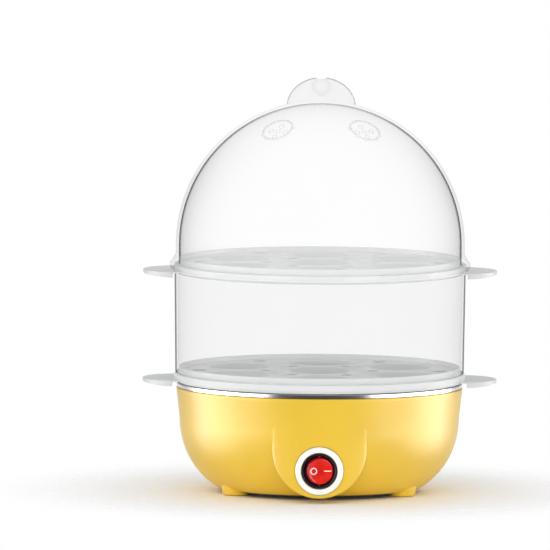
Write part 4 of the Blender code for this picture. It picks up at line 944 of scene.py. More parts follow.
@dataclass
class Pan:
    """The drawn steel pan over the heater, with its rolled hem and the seal below that."""

    floor: float = 36.8 * MM
    corner: float = 9.0 * MM
    sheet: float = 0.6 * MM
    foot_r: float = 67.2 * MM
    top_r: float = 68.7 * MM
    shoulder: float = 55.3 * MM
    crown_r: float = 70.2 * MM
    crown: float = 57.2 * MM
    slope_r: float = 71.8 * MM
    slope: float = 56.25 * MM
    hem_r: float = 73.8 * MM
    hem: float = 54.3 * MM
    heater_r: float = 34.0 * MM
    dip: float = 0.35 * MM
    pillar_r: float = 3.4 * MM
    pillar_foot: float = 26.4 * MM
    pillar: float = 10.5 * MM
    stud_place: float = 37.0 * MM
    stud_foot: float = 20.6 * MM
    stud_top: float = 37.0 * MM
    stud_r: float = 1.8 * MM
    seal_r: float = 70.0 * MM
    seal_outer_r: float = 72.4 * MM
    seal_edge: float = 54.8 * MM
    seal_top: float = 56.0 * MM

    def sheet_line(self) -> list[Corner]:
        """Lists the upper side of the sheet, from the middle of the floor to the hem."""
        dipped = self.floor + self.sheet - self.dip
        return [Corner(0, dipped), Corner(self.heater_r - 2 * MM, dipped, 1.0 * MM),
                Corner(self.heater_r, self.floor + self.sheet, 1.0 * MM),
                Corner(self.foot_r, self.floor + self.sheet, self.corner),
                Corner(self.top_r, self.shoulder, 1.2 * MM),
                Corner(self.crown_r, self.crown, 0.5 * MM),
                Corner(self.slope_r, self.slope, 0.5 * MM),
                Corner(self.hem_r, self.slope, 0.6 * MM),
                Corner(self.hem_r, self.hem)]

    def dress(self) -> None:
        """Builds the pan and its seal in place of the CAD's."""
        upper = rounded(self.sheet_line(), closed=False, segments=8)
        lower = []
        for index, point in enumerate(upper):
            before = upper[max(0, index - 1)]
            after = upper[min(len(upper) - 1, index + 1)]
            along = (after - before).normalized()
            inward = Vector((along.z, 0, -along.x)) * self.sheet
            if index == 0:
                inward = Vector((0, 0, -self.sheet))
            lower.append(point + inward)
        pan = turned(upper + lower[::-1], closed=False)
        pillars = [rod(place, place + UP * self.pillar, self.pillar_r)
                   for place in ring_of(3, FOOT_PLACE_R, pi / 2, self.pillar_foot)]
        studs = [rod(Vector((side * self.stud_place, 0, self.stud_foot)),
                     Vector((side * self.stud_place, 0, self.stud_top)), self.stud_r,
                     soft=0.3 * MM) for side in (-1, 1)]
        settle(joined(pan, *pillars, *studs), "pan", STEEL, Body.BASE, ("heating_pan",))
        seal = rounded([Corner(self.seal_r, self.hem),
                        Corner(self.seal_outer_r, self.hem, 0.3 * MM),
                        Corner(self.seal_outer_r, self.seal_edge, 0.2 * MM),
                        Corner(self.seal_r, self.seal_top, 0.4 * MM)])
        settle(turned(seal), "seal", SILICONE, Body.BASE, ("pan_seal",))


# The tiers


@dataclass
class EggTray:
    """A frosted egg tray with seven open cups, steam holes and two ears."""

    name: str
    body: Body
    stands_for: str
    seat: float
    deck_top: float = 4.6 * MM
    deck_low: float = 3.2 * MM
    collar_bore_r: float = 71.2 * MM
    collar_r: float = 72.6 * MM
    collar_top: float = 7.0 * MM
    flange_top: float = 3.6 * MM
    rim_r: float = 75.2 * MM
    spigot_r: float = 73.3 * MM
    spigot_bore_r: float = 72.1 * MM
    spigot: float = 0.9 * MM
    seat_rib_r: float = 69.6 * MM
    edge: float = 0.4 * MM
    cup_place_r: float = 48.0 * MM
    cup_mouth_r: float = 16.5 * MM
    cup_foot_r: float = 10.0 * MM
    cup_low: float = 1.5 * MM
    cup_wall: float = 1.3 * MM
    mouth: float = 0.8 * MM
    overrun: float = 2 * MM
    drain_place_r: float = 62 * MM
    drain_r: float = 4.0 * MM
    middle_drain_r: float = 3.0 * MM
    ear_tip: float = 91.5 * MM
    ear_half: float = 21.5 * MM
    ear_base: float = 0.2 * MM
    ear_top: float = 0.9 * MM
    ear_lip: float = 2.0 * MM
    ear_lip_wall: float = 1.2 * MM
    ear_lip_start: float = 75.6 * MM
    ear_taper_share: float = 0.9
    ear_root: float = 0.5 * MM
    lip_inset: float = 0.05 * MM

    def body_of_tray(self) -> bmesh.types.BMesh:
        """Makes the turned deck, collar, flange and spigot."""
        soft = self.edge
        corners = [Corner(0, self.deck_top),
                   Corner(self.collar_bore_r, self.deck_top, soft),
                   Corner(self.collar_bore_r, self.collar_top, soft),
                   Corner(self.collar_r, self.collar_top, soft),
                   Corner(self.collar_r, self.flange_top),
                   Corner(self.rim_r, self.flange_top, 0.7 * MM),
                   Corner(self.rim_r, 0, 0.5 * MM),
                   Corner(self.spigot_r, 0),
                   Corner(self.spigot_r, -self.spigot, soft / 2),
                   Corner(self.spigot_bore_r, -self.spigot, soft / 2),
                   Corner(self.spigot_bore_r, 0),
                   Corner(self.seat_rib_r, 0, soft / 2),
                   Corner(self.seat_rib_r, self.deck_low),
                   Corner(0, self.deck_low)]
        return turned(rounded(corners, closed=False, segments=3), TRAY_STEPS, closed=False)

    def cup_places(self) -> list[Vector]:
        """Lists the middles of the seven cups, in the tray's own height."""
        return [CENTRE] + ring_of(6, self.cup_place_r, pi / 6)

    def cups(self) -> bmesh.types.BMesh:
        """Makes the seven solid cones that the cups are bored from."""
        wide = self.cup_wall
        low = -self.cup_low
        corners = [Corner(0, low), Corner(self.cup_foot_r + wide, low, self.edge),
                   Corner(self.cup_mouth_r + wide, self.deck_top - 0.2 * MM),
                   Corner(0, self.deck_top - 0.2 * MM)]
        return strewn(corners, self.cup_places(), 3)

    def bores(self) -> bmesh.types.BMesh:
        """Makes the cutters of the seven cups, with rounded mouths, and the steam holes."""
        slope = (self.cup_mouth_r - self.cup_foot_r) / (self.deck_top + self.cup_low)
        over, mouth = self.overrun, self.mouth
        corners = [Corner(0, -self.cup_low - over),
                   Corner(self.cup_foot_r - slope * over, -self.cup_low - over),
                   Corner(self.cup_mouth_r, self.deck_top, 1.2 * MM),
                   Corner(self.cup_mouth_r + mouth, self.deck_top + mouth / 4),
                   Corner(self.cup_mouth_r + mouth, self.deck_top + over),
                   Corner(0, self.deck_top + over)]
        bored = [strewn(corners, self.cup_places(), 3)]
        low = self.deck_low - over
        for reach, hole_r in ((self.drain_place_r, self.drain_r),
                               (self.cup_place_r / sqrt(3), self.middle_drain_r)):
            bored += [rod(place, place + UP * 4 * over, hole_r)
                      for place in ring_of(6, reach, 0, low)]
        return joined(*bored)

    def ear(self, side: int) -> bmesh.types.BMesh:
        """Makes one ear: a half-ellipse plate with a lip below.

        Args:
            side: 1 for the right ear and -1 for the left one.

        Returns:
            The closed ear.
        """
        start = self.spigot_bore_r + self.ear_root
        outline = self.half_round(self.ear_tip - start, self.ear_half, self.ear_base)
        plate = slab(outline, Vector((0, 0, self.ear_top - self.ear_base)))
        rims = [edge for edge in plate.edges
                if all(abs(vert.co.z - self.ear_top) < MERGE and vert.co.x > start + MERGE
                       for vert in edge.verts)]
        softened(plate, rims, 0.35 * MM)
        whole = carved(plate, self.lip(), Carve.JOIN)
        return swung(whole, pi) if side < 0 else whole

    def half_round(self, reach: float, half: float, height: float) -> list[Vector]:
        """Works out a half ellipse that stands out of the tray's edge.

        Args:
            reach: How far it stands out.
            half: Half its width.
            height: Its height.

        Returns:
            Its points, from the front round to the back.
        """
        start = self.spigot_bore_r + self.ear_root
        turns = [-pi / 2 + pi * step / 48 for step in range(49)]
        return [Vector((start + reach * cos(a), half * sin(a), height)) for a in turns]

    def lip(self) -> bmesh.types.BMesh:
        """Makes the lip under the ear's edge."""
        reach = self.ear_tip - self.spigot_bore_r - self.ear_root - self.lip_inset
        half = self.ear_half - self.lip_inset
        wall = self.ear_lip_wall
        outer = self.half_round(reach, half, -self.ear_lip)
        inner = self.half_round(reach - wall, half - wall, -self.ear_lip)
        outer = [point for point in outer if point.x > self.ear_lip_start]
        inner = [point for point in inner if point.x > self.ear_lip_start]
        lip = slab(outer + inner[::-1], Vector((0, 0, self.ear_lip + self.ear_base + 0.2 * MM)))
        for vert in lip.verts:
            if vert.co.z < 0:
                share = (vert.co.x - self.ear_lip_start) / (self.ear_tip - self.ear_lip_start)
                vert.co.z *= sqrt(1 - self.ear_taper_share * share * share)
        return lip

    def dress(self) -> None:
        """Builds the tray as one skin, in place of the CAD's."""
        skin = carved(self.body_of_tray(), self.cups(), Carve.JOIN)
        skin = carved(skin, self.bores(), Carve.CUT)
        skin = carved(skin, joined(self.ear(1), self.ear(-1)), Carve.JOIN)
        shifted(skin, UP * self.seat)
        piece = settle(skin, self.name, FROSTED, self.body, (self.stands_for,))
        # The ears take the greyer copy of the frosted plastic: painted shade.
        tell_apart(piece, FROSTED_EAR_PAINTED_SHADE, lambda middle, _: abs(middle.x) > self.rim_r + 0.05 * MM)


@dataclass
class MiddleRing:
    """The clear ring between the trays."""

    low: float = 61.4 * MM
    high: float = 113.4 * MM
    low_r: float = 74.5 * MM
    high_r: float = 75.2 * MM
    wall: float = 1.4 * MM
    edge: float = 0.4 * MM

    def dress(self) -> None:
        """Builds the ring in place of the CAD's."""
        edge, wall = self.edge, self.wall
        corners = [Corner(self.low_r, self.low, edge), Corner(self.high_r, self.high, edge),
                   Corner(self.high_r - wall, self.high, edge),
                   Corner(self.low_r - wall, self.low, edge)]
        piece = settle(turned(rounded(corners)), "ring_wall", CLEAR_RING, Body.RING,
                       ("middle_ring",))
        tell_apart(piece, RING_INSIDE,
                   lambda middle, normal: middle.dot(normal) < middle.z * normal.z)


@dataclass
class Lid:
    """The clear domed lid, with its beaded lip, steam vents and grip."""

    shoulder: float = 117.6 * MM
    bottom: float = 115.1 * MM
    bead_r: float = 77.6 * MM
    bead_low: float = 116.3 * MM
    bead_high: float = 118.3 * MM
    bead_top: float = 119.5 * MM
    lip_r: float = 77.0 * MM
    side_r: float = 74.6 * MM
    bore_r: float = 75.5 * MM
    side_top: float = 122.8 * MM
    dome_z: float = 127.6 * MM
    dome_r: float = 74.6 * MM
    wall: float = 1.6 * MM
    grip_half: float = 17.8 * MM
    grip_rise: float = 15.1 * MM
    grip_mid: float = 199.0 * MM
    grip_sink: float = 4.0 * MM
    grip: float = 4.0 * MM
    grip_edge: float = 1.0 * MM
    notch_r: float = 5.0 * MM
    notch_depth: float = 1.2 * MM
    scoop_r: float = 12.0 * MM
    scoop_z: float = 209.5 * MM
    scoop_depth: float = 1.1 * MM
    vent_turn: float = radians(32.5)
    vent_tilt: float = radians(34)
    vent_r: float = 8.5 * MM
    vent_rim: float = 1.0 * MM
    vent_floor: float = 0.6 * MM
    vent_proud: float = 0.2 * MM
    vent_sink: float = 1.2 * MM
    vent_taper: float = 0.2 * MM
    vent_edge: float = 0.15 * MM
    vent_over: float = 3 * MM
    drill_depth: float = 4 * MM
    drill: float = 6 * MM
    slack: float = 0.1 * MM
    vent_hole_r: float = 1.3 * MM
    vent_hole_place_r: float = 4.2 * MM
    dome_steps: int = 40
    keep_r: float = 25 * MM
    keep_low: float = 190 * MM
    keep_high: float = 230 * MM

    def dome(self) -> bmesh.types.BMesh:
        """Makes the turned dome with its lip."""
        inner_r = self.dome_r - self.wall
        sweep = [pi / 2 * step / self.dome_steps for step in range(self.dome_steps + 1)]
        outer = [Vector((self.dome_r * cos(a), 0, self.dome_z + self.dome_r * sin(a)))
                 for a in sweep[::-1]]
        inner = [Vector((inner_r * cos(a), 0, self.dome_z + inner_r * sin(a))) for a in sweep]
        outer[0].x = 0
        inner[-1].x = 0
        lip = rounded([Corner(self.side_r, self.dome_z),
                       Corner(self.side_r, self.side_top, 1.5 * MM),
                       Corner(self.bead_r - 1.2 * MM, self.bead_top, 0.8 * MM),
                       Corner(self.bead_r, self.bead_high, 0.8 * MM),
                       Corner(self.bead_r, self.bead_low, 0.8 * MM),
                       Corner(self.lip_r, self.bottom, 0.4 * MM),
                       Corner(self.bore_r, self.bottom, 0.4 * MM),
                       Corner(self.bore_r, self.shoulder),
                       Corner(inner_r, self.shoulder, 0.4 * MM),
                       Corner(inner_r, self.dome_z)], closed=False)
        return turned(outer + lip[1:-1] + inner, closed=False)

    def grip_plate(self) -> bmesh.types.BMesh:
        """Makes the half-ellipse grip, with its notch on top and a thumb scoop on each face."""
        turns = [pi * step / 48 for step in range(49)]
        face = -self.grip / 2
        outline = [Vector((self.grip_half * cos(a), face, self.grip_mid + self.grip_rise * sin(a)))
                   for a in turns]
        outline.append(Vector((-self.grip_half, face, self.grip_mid - self.grip_sink)))
        outline.append(Vector((self.grip_half, face, self.grip_mid - self.grip_sink)))
        plate = slab(outline, Vector((0, self.grip, 0)))
        softened(plate, [edge for edge in plate.edges
                         if abs(edge.verts[0].co.y - edge.verts[1].co.y) < MERGE], self.grip_edge)
        top = self.grip_mid + self.grip_rise
        notch_z = top + self.notch_r - self.notch_depth
        notch = rod(Vector((0, -self.grip, notch_z)), Vector((0, self.grip, notch_z)),
                    self.notch_r, steps=ROUND_STEPS)
        plate = carved(plate, notch, Carve.CUT)
        for side in (-1, 1):
            scoop = bmesh.new()
            bmesh.ops.create_uvsphere(scoop, u_segments=48, v_segments=24, radius=self.scoop_r)
            away = self.grip / 2 + self.scoop_r - self.scoop_depth
            shifted(scoop, Vector((0, side * away, self.scoop_z)))
            plate = carved(plate, scoop, Carve.CUT)
        return plate

    def vent_frame(self, side: int) -> Matrix:
        """Returns the place and turn of a vent, its own Z standing out of the dome."""
        turn = Matrix.Rotation(-pi / 2 + side * self.vent_turn, 4, "Z")
        tilt = Matrix.Rotation(self.vent_tilt, 4, "Y")
        return Matrix.Translation((0, 0, self.dome_z)) @ turn @ tilt

    def vent(self, side: int, cut: bool) -> bmesh.types.BMesh:
        """Makes a vent's rim, or what is cut for it.

        Args:
            side: -1 for the left vent and 1 for the right one.
            cut: Whether this is the cutter of the recess and its holes.

        Returns:
            The mesh, in place.
        """
        crown = self.dome_r
        if cut:
            sunk = crown - self.vent_floor
            bore = self.vent_r - self.vent_rim
            recess = rod(UP * sunk, UP * (crown + self.vent_over), bore, steps=ROUND_STEPS)
            low = UP * (sunk - self.drill_depth)
            holes = [rod(place + low, place + low + UP * self.drill, self.vent_hole_r)
                     for place in [CENTRE] + ring_of(4, self.vent_hole_place_r, 0)]
            part = carved(recess, joined(*holes), Carve.JOIN)
        else:
            part = rod(UP * (crown - self.vent_sink), UP * (crown + self.vent_proud),
                       self.vent_r, self.vent_r - self.vent_taper, ROUND_STEPS, self.vent_edge)
        bmesh.ops.transform(part, matrix=self.vent_frame(side), verts=part.verts[:])
        return part

    def dress(self) -> None:
        """Builds the lid as one skin, in place of the CAD's."""
        rims = joined(self.vent(-1, False), self.vent(1, False))
        skin = carved(self.dome(), rims, Carve.JOIN)
        skin = carved(skin, joined(self.vent(-1, True), self.vent(1, True)), Carve.CUT)
        keep = turned([Vector((out, 0, up)) for out, up in (
            (0, self.keep_low), (self.keep_r, self.keep_low),
            (self.keep_r, self.keep_high), (0, self.keep_high))], closed=False)
        ball = bmesh.new()
        middle_r = self.dome_r - self.wall / 2
        bmesh.ops.create_uvsphere(ball, u_segments=96, v_segments=64, radius=middle_r)
        crown = UP * self.dome_z
        shifted(ball, crown)
        grip = carved(self.grip_plate(), carved(keep, ball, Carve.CUT), Carve.SHARE)
        skin = carved(skin, grip, Carve.JOIN)
        piece = settle(skin, "dome", CLEAR_DOME, Body.LID, ("dome_lid",))
        tell_apart(piece, CLEAR_INSIDE, lambda middle, _: (middle - crown).length < middle_r)
        for side in (-1, 1):
            back = self.vent_frame(side).inverted()
            tell_apart(piece, CLEAR_VENT, lambda middle, normal: self.in_vent(
                back @ middle, back.to_3x3() @ normal))
        tell_apart(piece, CLEAR_GRIP, lambda middle, _: self.in_grip(middle))

    def in_vent(self, place: Vector, way: Vector) -> bool:
        """Tells whether a face, seen in a vent's own frame, is part of the rim or of a hole."""
        reach = sqrt(place.x ** 2 + place.y ** 2)
        if abs(place.z - self.dome_r) > self.wall or reach > self.vent_r + self.slack:
            return False
        return reach > self.vent_r - self.vent_rim - self.slack or abs(way.z) < 0.5

    def in_grip(self, middle: Vector) -> bool:
        """Tells whether a face with this middle belongs to the grip."""
        above = self.dome_z + self.dome_r - 2 * MM
        return (middle.z > above and abs(middle.x) < self.grip_half + 0.01 * MM
                and abs(middle.y) < self.grip / 2 + 0.01 * MM)


# The switch


@dataclass
class Switch:
    """The round rocker switch: white ring, black bezel and barrel, red rocker with its marks."""

    axis_z: float = 17.0 * MM
    face: float = 70.9 * MM
    pivot: float = 71.1 * MM
    ring_r: float = 12.35 * MM
    ring_bore_r: float = 9.4 * MM
    ring_front: float = 74.2 * MM
    ring_back: float = 71.2 * MM
    bezel_r: float = 9.1 * MM
    bezel_front: float = 73.4 * MM
    lip_r: float = 8.4 * MM
    slope: float = 1.3 * MM
    bore_r: float = 7.5 * MM
    barrel_r: float = 8.3 * MM
    barrel_back: float = 56.2 * MM
    barrel_wall: float = 1.5 * MM
    bezel_gap: float = 0.3 * MM
    ball_r: float = 7.27 * MM
    rocker_face: float = 2.9 * MM
    rocker_dish: float = 0.7 * MM
    rocker_rear: float = 3.5 * MM
    stem_r: float = 1.8 * MM
    stem: float = 6.5 * MM
    stem_edge: float = 0.6 * MM
    pin_r: float = 0.7 * MM
    pin_half: float = 8.0 * MM
    # Faces that turn further from the front than this get the flanks' painted shade.
    painted_shade_limit: float = 0.75
    rest_turn: float = radians(12)
    mark_place: float = 3.4 * MM
    dash_shift: float = 0.5 * MM
    mark_r: float = 1.8 * MM
    mark_width: float = 0.5 * MM
    mark_rise: float = 0.06 * MM

    def forward(self, bm: bmesh.types.BMesh) -> bmesh.types.BMesh:
        """Turns a mesh whose Z runs out of the switch so that it faces the front, on its axis."""
        turn = Matrix.Rotation(pi / 2, 4, "X")
        shift = Matrix.Translation((0, 0, self.axis_z))
        bmesh.ops.transform(bm, matrix=shift @ turn, verts=bm.verts[:])
        return bm

    def ring(self) -> None:
        """Builds the white ring round the switch."""
        corners = [Corner(self.ring_bore_r, self.ring_back),
                   Corner(self.ring_r, self.ring_back, 0.2 * MM),
                   Corner(self.ring_r, self.ring_front, 1.0 * MM),
                   Corner(self.ring_bore_r, self.ring_front, 0.5 * MM)]
        bm = self.forward(turned(rounded(corners, segments=6), DISC_STEPS))
        settle(bm, "white_ring", WHITE, Body.BASE, ("switch_ring",))

    def body(self) -> None:
        """Builds the bezel and the barrel behind it."""
        floor = self.barrel_back + self.barrel_wall
        corners = [Corner(self.bore_r, floor),
                   Corner(self.bore_r, self.bezel_front - self.slope, 0.2 * MM),
                   Corner(self.lip_r, self.bezel_front, 0.3 * MM),
                   Corner(self.bezel_r, self.bezel_front, 0.3 * MM),
                   Corner(self.bezel_r, self.face + self.bezel_gap, 0.15 * MM),
                   Corner(self.barrel_r, self.face + self.bezel_gap),
                   Corner(self.barrel_r, self.barrel_back, 0.5 * MM),
                   Corner(0, self.barrel_back), Corner(0, floor)]
        profile = rounded(corners, closed=False)[::-1]
        bm = self.forward(turned(profile, DISC_STEPS, closed=False))
        settle(bm, "bezel", BLACK, Body.BASE, ("switch_body",))

    def rocker(self) -> None:
        """Builds the red rocker with its dished face and the two marks on it; its flanks are
        painted a darker red, as painted shade.
        """
        ball, face = self.ball_r, self.rocker_face
        wide = sqrt(ball ** 2 - face ** 2)
        back = sqrt(ball ** 2 - self.rocker_rear ** 2)
        first = radians(90) - acos(face / ball)
        last = -(radians(90) - acos(self.rocker_rear / ball))
        sweep = [first + (last - first) * step / 12 for step in range(13)]
        side = [Vector((ball * cos(a), 0, ball * sin(a))) for a in sweep]
        rim = [Vector((wide - 0.5 * MM, 0, face + 0.02 * MM)),
               Vector((wide - 0.15 * MM, 0, face - 0.1 * MM))]
        dish = [Vector((wide * share, 0, face - self.rocker_dish * (1 - share ** 2)))
                for share in (0.0, 0.15, 0.3, 0.45, 0.6, 0.75, 0.88)]
        rear = [Vector((back - 0.3 * MM, 0, -self.rocker_rear)),
                Vector((self.stem_r, 0, -self.rocker_rear)),
                Vector((self.stem_r, 0, -self.stem + self.stem_edge)),
                Vector((self.stem_r - self.stem_edge, 0, -self.stem)), UP * -self.stem]
        bm = turned(dish + rim + side[1:] + rear, DISC_STEPS, closed=False)
        pins = rod(Vector((0, -self.pin_half, 0)), Vector((0, self.pin_half, 0)), self.pin_r)
        bm = carved(bm, pins, Carve.JOIN)
        # The flanks, off the dished front, take the darker red of painted shade.
        for flat in bm.faces:
            flat.material_index = int(flat.normal.z < self.painted_shade_limit)
        piece = settle(self.at_pivot(bm), "rocker", RED, Body.ROCKER, ("switch_rocker",))
        piece.data.materials.append(RED_FLANK_PAINTED_SHADE.material())
        self.marks(wide)

    def at_pivot(self, bm: bmesh.types.BMesh) -> bmesh.types.BMesh:
        """Puts a mesh made round the rocker's own middle on its pivot, pressed in on the right."""
        place = Matrix.Translation((0, -self.pivot, self.axis_z))
        turn = Matrix.Rotation(self.rest_turn, 4, "Z") @ Matrix.Rotation(pi / 2, 4, "X")
        bmesh.ops.transform(bm, matrix=place @ turn, verts=bm.verts[:])
        return bm

    def marks(self, wide: float) -> None:
        """Builds the printed ring and dash on the rocker's face.

        Args:
            wide: The radius of the rocker's face.
        """
        inner = self.mark_r - self.mark_width
        rise = self.mark_rise
        loop = turned(rounded([Corner(inner, -rise), Corner(self.mark_r, -rise),
                               Corner(self.mark_r, rise, rise / 2),
                               Corner(inner, rise, rise / 2)], segments=2), ROUND_STEPS)
        shifted(loop, Vector((-self.mark_place, 0, 0)))
        half = self.mark_width / 2
        middle = Vector((self.mark_place + self.dash_shift, 0, 0))
        reach = Vector((self.mark_r, half, rise))
        dash = block(middle - reach, middle + reach, rise / 2, 2)
        bmesh.ops.subdivide_edges(dash, edges=dash.edges[:], cuts=4, use_grid_fill=True)
        both = joined(loop, dash)
        for vert in both.verts:
            share = (vert.co.x ** 2 + vert.co.y ** 2) / wide ** 2
            vert.co.z += self.rocker_face - self.rocker_dish * (1 - share)
        settle(self.at_pivot(both), "rocker_marks", MARK, Body.ROCKER)

    def dress(self) -> None:
        """Builds the switch's visible pieces in place of the CAD's."""
        self.ring()
        self.body()
        self.rocker()


# The small pieces behind and below


@dataclass
class Grommet:
    """The rubber bushing in the cable entry at the back, with a flange on each side of the wall."""

    axis_z: float = 19.0 * MM
    bore_r: float = 3.4 * MM
    neck_r: float = 4.9 * MM
    flange_r: float = 7.0 * MM
    flange: float = 1.6 * MM
    wall_in: float = 64.0 * MM
    wall_out: float = 66.8 * MM
    tip: float = 72.9 * MM
    edge: float = 0.35 * MM
    rib: float = 0.25 * MM
    rib_share: float = 0.5

    def dress(self) -> None:
        """Builds the bushing in place of the CAD's."""
        outer = self.wall_out + self.flange
        rib_at = outer + (self.tip - outer) * self.rib_share
        corners = [Corner(self.bore_r, self.tip, self.edge),
                   Corner(self.neck_r - self.flange / 2, self.tip, self.edge),
                   Corner(self.neck_r - self.rib, rib_at + self.edge, self.rib),
                   Corner(self.neck_r - 2 * self.rib, rib_at, self.rib),
                   Corner(self.neck_r - self.rib, rib_at - self.edge, self.rib),
                   Corner(self.neck_r, outer, self.edge / 2),
                   Corner(self.flange_r, outer, self.edge),
                   Corner(self.flange_r, self.wall_out, self.edge),
                   Corner(self.neck_r, self.wall_out),
                   Corner(self.neck_r, self.wall_in),
                   Corner(self.flange_r, self.wall_in, self.edge),
                   Corner(self.flange_r, self.wall_in - self.flange, self.edge),
                   Corner(self.bore_r, self.wall_in - self.flange, self.edge)]
        bm = turned(rounded(corners), GROMMET_STEPS)
        turn = Matrix.Translation((0, 0, self.axis_z)) @ Matrix.Rotation(-pi / 2, 4, "X")
        bmesh.ops.transform(bm, matrix=turn, verts=bm.verts[:])
        settle(bm, "cable_bushing", RUBBER, Body.BASE, ("cord_grommet",))


@dataclass
class UnderScrews:
    """Three like screws seen from below: those of the cover or those of the feet."""

    name: str
    place_r: float
    first: float
    head_r: float
    head: float
    shank_r: float
    rims: tuple[float, ...]
    first_turn: float
    next_turn: float
    tip_r: float = 0.4 * MM
    recess_half: float = 1.6 * MM
    recess_width: float = 0.7 * MM
    recess_depth: float = 0.9 * MM

    def screw(self, place: Vector, low: float, high: float, turn: float) -> bmesh.types.BMesh:
        """Makes a screw that points up, with a cross recess in its head.

        Args:
            place: The foot of its axis.
            low: The height of its head's face.
            high: The height of its tip.
            turn: The angle of its recess.

        Returns:
            The closed screw, in place.
        """
        rims = [Corner(self.head_r, low + step * self.head, soft)
                for step, soft in enumerate(self.rims)]
        corners = [Corner(0, low)] + rims + [
            Corner(self.shank_r, low + self.head), Corner(self.shank_r, high - self.shank_r),
            Corner(self.tip_r, high), Corner(0, high)]
        bm = strewn(corners, [CENTRE], 3)
        reach = Vector((self.recess_half, self.recess_width / 2, self.recess_depth))
        arms = [swung(block(UP * low - reach, UP * low + reach), turn + quarter)
                for quarter in (0, pi / 2)]
        return shifted(carved(bm, carved(*arms, Carve.JOIN), Carve.CUT), place)

    def dress(self) -> None:
        """Builds the three screws in place of the CAD's."""
        for index, place in enumerate(ring_of(3, self.place_r, self.first)):
            name = f"{self.name}_{index + 1}"
            low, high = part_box(name)[0].z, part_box(name)[1].z
            turn = radians(self.first_turn + self.next_turn * index)
            settle(self.screw(place, low, high, turn), f"{self.name}_skin_{index + 1}", ZINC,
                   Body.BASE, (name,))


# The studio


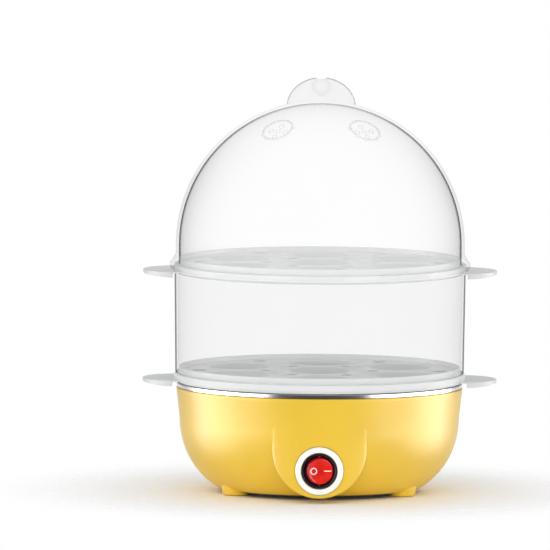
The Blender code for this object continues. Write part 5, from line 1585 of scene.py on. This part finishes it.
@dataclass
class Studio:
    """The pale floor, the soft lamps and the camera at the photograph's angle."""

    aim: Vector = field(default_factory=lambda: Vector((-0.0233, 0.0, 0.1116)))
    elevation: float = radians(4.8)
    roll: float = radians(0.35)
    distance: float = 8.0
    view_width: float = 0.2841
    sensor: float = 36.0
    floor_r: float = 1.6
    floor_z: float = -0.2 * MM
    lit_strength: float = 0.76
    room_strength: float = 0.1
    room_end: float = 0.2
    white: tuple[float, ...] = (1.0, 1.0, 1.0, 1.0)
    floor_colour: tuple[float, ...] = (0.97, 0.975, 0.99, 1.0)
    floor_roughness: float = 0.6
    fade_start: float = 0.06
    fade_end: float = 0.18
    lamp_aim: Vector = field(default_factory=lambda: Vector((0, 0, 0.1)))

    def camera(self) -> None:
        """Sets up the camera, long and level with the object as the photograph was taken."""
        data = bpy.data.cameras.new("camera")
        data.sensor_width = self.sensor
        data.lens = self.sensor * self.distance / self.view_width
        eye = bpy.data.objects.new("camera", data)
        bpy.context.scene.collection.objects.link(eye)
        back = Vector((0, -cos(self.elevation), sin(self.elevation)))
        eye.location = self.aim + back * self.distance
        level = (-back).to_track_quat("-Z", "Y")
        eye.rotation_euler = (level.to_matrix() @ Matrix.Rotation(self.roll, 3, "Z")).to_euler()
        bpy.context.scene.camera = eye

    def lamp(self, name: str, place: Vector, size: tuple[float, float], watts: float,
             shows: bool = False) -> None:
        """Adds a rectangular soft lamp that looks at the object.

        Args:
            name: The lamp's name.
            place: Where it hangs.
            size: Its width and height.
            watts: Its power.
            shows: Whether it only shows in the surfaces' gloss, or else only lights them.
        """
        data = bpy.data.lights.new(name, "AREA")
        data.shape = "RECTANGLE"
        data.size, data.size_y = size
        data.energy = watts
        lamp = bpy.data.objects.new(name, data)
        bpy.context.scene.collection.objects.link(lamp)
        lamp.location = place
        lamp.visible_diffuse = not shows
        lamp.visible_glossy = shows
        way = self.lamp_aim - place
        lamp.rotation_euler = way.to_track_quat("-Z", "Y").to_euler()

    def seen_strength(self, tree: bpy.types.NodeTree) -> bpy.types.NodeSocket:
        """Adds the strength of the background where it is seen: white, and dimmer in reflections
        of the room in front of the object.

        Args:
            tree: The world's node tree.

        Returns:
            The strength.
        """
        way = grown(tree, "TexCoord", "Generated")
        depth = grown(tree, "MapRange", "Result", {
            "Value": grown(tree, "SeparateXYZ", "Y", {"Vector": way}),
            "From Min": self.room_end, "From Max": 1.0,
            "To Min": self.room_strength, "To Max": 1.0}, interpolation_type="SMOOTHSTEP")
        seen = grown(tree, "LightPath", "Is Camera Ray")
        return grown(tree, "Math", 0, {0: depth, 1: seen}, operation="MAXIMUM")

    def seen_share(self, tree: bpy.types.NodeTree) -> bpy.types.NodeSocket:
        """Adds a value that is 1 for rays that show the background, and 0 for those that light.

        Args:
            tree: The node tree to add it to.

        Returns:
            The value.
        """
        path = grown(tree, "LightPath").node.outputs
        total = path["Is Camera Ray"]
        for label in ("Is Glossy Ray", "Is Transmission Ray"):
            total = grown(tree, "Math", 0, {0: total, 1: path[label]}, operation="MAXIMUM")
        return total

    def world(self) -> None:
        """Sets a white background that lights the object softly."""
        world = bpy.data.worlds.new("studio")
        world.use_nodes = True
        world.cycles.sampling_method = "NONE"
        bpy.context.scene.world = world
        tree = world.node_tree
        lit = tree.nodes["Background"]
        fed(tree, lit, {"Color": self.white, "Strength": self.lit_strength})
        seen = grown(tree, "Background", 0, {
            "Color": self.white, "Strength": self.seen_strength(tree)})
        mix = grown(tree, "MixShader", 0, {
            "Fac": self.seen_share(tree), 1: lit.outputs[0], 2: seen})
        tree.links.new(mix, tree.nodes["World Output"].inputs["Surface"])

    def floor(self) -> None:
        """Lays a pale floor that fades into the white far from the object, and is clear from
        below, so that it never hides the underside."""
        bm = bmesh.new()
        bmesh.ops.create_circle(bm, cap_ends=True, segments=96, radius=self.floor_r,
                                matrix=Matrix.Translation((0, 0, self.floor_z)))
        mesh = bpy.data.meshes.new("floor")
        bm.to_mesh(mesh)
        bm.free()
        made = bpy.data.materials.new("floor")
        made.use_nodes = True
        tree = made.node_tree
        place = grown(tree, "TexCoord", "Object")
        reach = grown(tree, "VectorMath", "Value", {0: place}, operation="LENGTH")
        fade = grown(tree, "MapRange", "Result", {
            "Value": reach, "From Min": self.fade_start, "From Max": self.fade_end,
            "To Min": 1.0, "To Max": 0.0}, interpolation_type="SMOOTHSTEP")
        below = grown(tree, "NewGeometry", "Backfacing")
        shown = grown(tree, "Math", 0, {0: fade, 1: below}, operation="SUBTRACT", use_clamp=True)
        fed(tree, tree.nodes["Principled BSDF"], {
            "Base Color": self.floor_colour, "Roughness": self.floor_roughness, "Alpha": shown})
        mesh.materials.append(made)
        floor = bpy.data.objects.new("floor", mesh)
        bpy.context.scene.collection.objects.link(floor)

    def build(self) -> None:
        """Sets up the camera, the light and the floor."""
        self.camera()
        self.world()
        self.floor()
        for name, place, size, watts in (
                ("left_lamp", (-1.15, 0.15, 0.2), (0.9, 1.6), 36.0),
                ("right_lamp", (1.1, 0.27, 0.2), (0.9, 1.6), 36.0),
                ("left_glow", (-1.05, -0.6, 0.25), (0.8, 1.2), 13.0),
                ("right_glow", (1.05, -0.6, 0.25), (0.8, 1.2), 13.0)):
            self.lamp(name, Vector(place), size, watts, shows=True)
        self.lamp("front_lamp", Vector((-0.3, -1.6, 1.3)), (1.4, 1.0), 5.0)
        self.lamp("low_lamp", Vector((0, -1.3, 0.11)), (1.6, 0.2), 5.2)
        bpy.context.scene.view_settings.view_transform = "Standard"


def dress_carried_over(frame: dict) -> None:
    """Gives the CAD nodes that stay in view their finishes.
    """
    finishes = {finish.slot: finish for finish in (
        YELLOW, DARK, WHITE, BLACK, RED, STEEL, ALUMINIUM, ELEMENT, PHENOLIC, CERAMIC, RUBBER,
        SILICONE, LEAD_RED, LEAD_BLUE, LEAD_WHITE, LAMP_GLASS, BRASS, FROSTED, CLEAR_DOME)}
    for name, node in frame["nodes"].items():
        for slot in node.material_slots:
            finish = finishes.get(slot.material.name.split(".")[0])
            if finish is None:
                LOG.warning("%s has no finish for slot %s", name, slot.material.name)
                continue
            slot.material = ZINC.material() if "screw" in name else finish.material()


def main() -> None:
    """Builds the object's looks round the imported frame, and keeps its sizes."""
    logging.basicConfig(level=logging.INFO, format="%(message)s")
    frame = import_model()
    dress_carried_over(frame)
    Studio().build()
    Housing().dress()
    BottomCover().dress()
    Pan().dress()
    EggTray("lower_tray_skin", Body.LOWER_TRAY, "lower_egg_tray", 57.5 * MM).dress()
    EggTray("upper_tray_skin", Body.UPPER_TRAY, "upper_egg_tray", 113.7 * MM).dress()
    MiddleRing().dress()
    Lid().dress()
    Switch().dress()
    Grommet().dress()
    UnderScrews("cover_screw", COVER_PLACE_R, -pi / 2, 2.7 * MM, 1.5 * MM, 1.4 * MM,
                (0.15 * MM,), 20, 50).dress()
    UnderScrews("tie_screw", FOOT_PLACE_R, pi / 2, 2.8 * MM, 2.0 * MM, 1.6 * MM,
                (0.8 * MM, 0.15 * MM), 35, 40).dress()


if __name__ == "__main__":
    main()
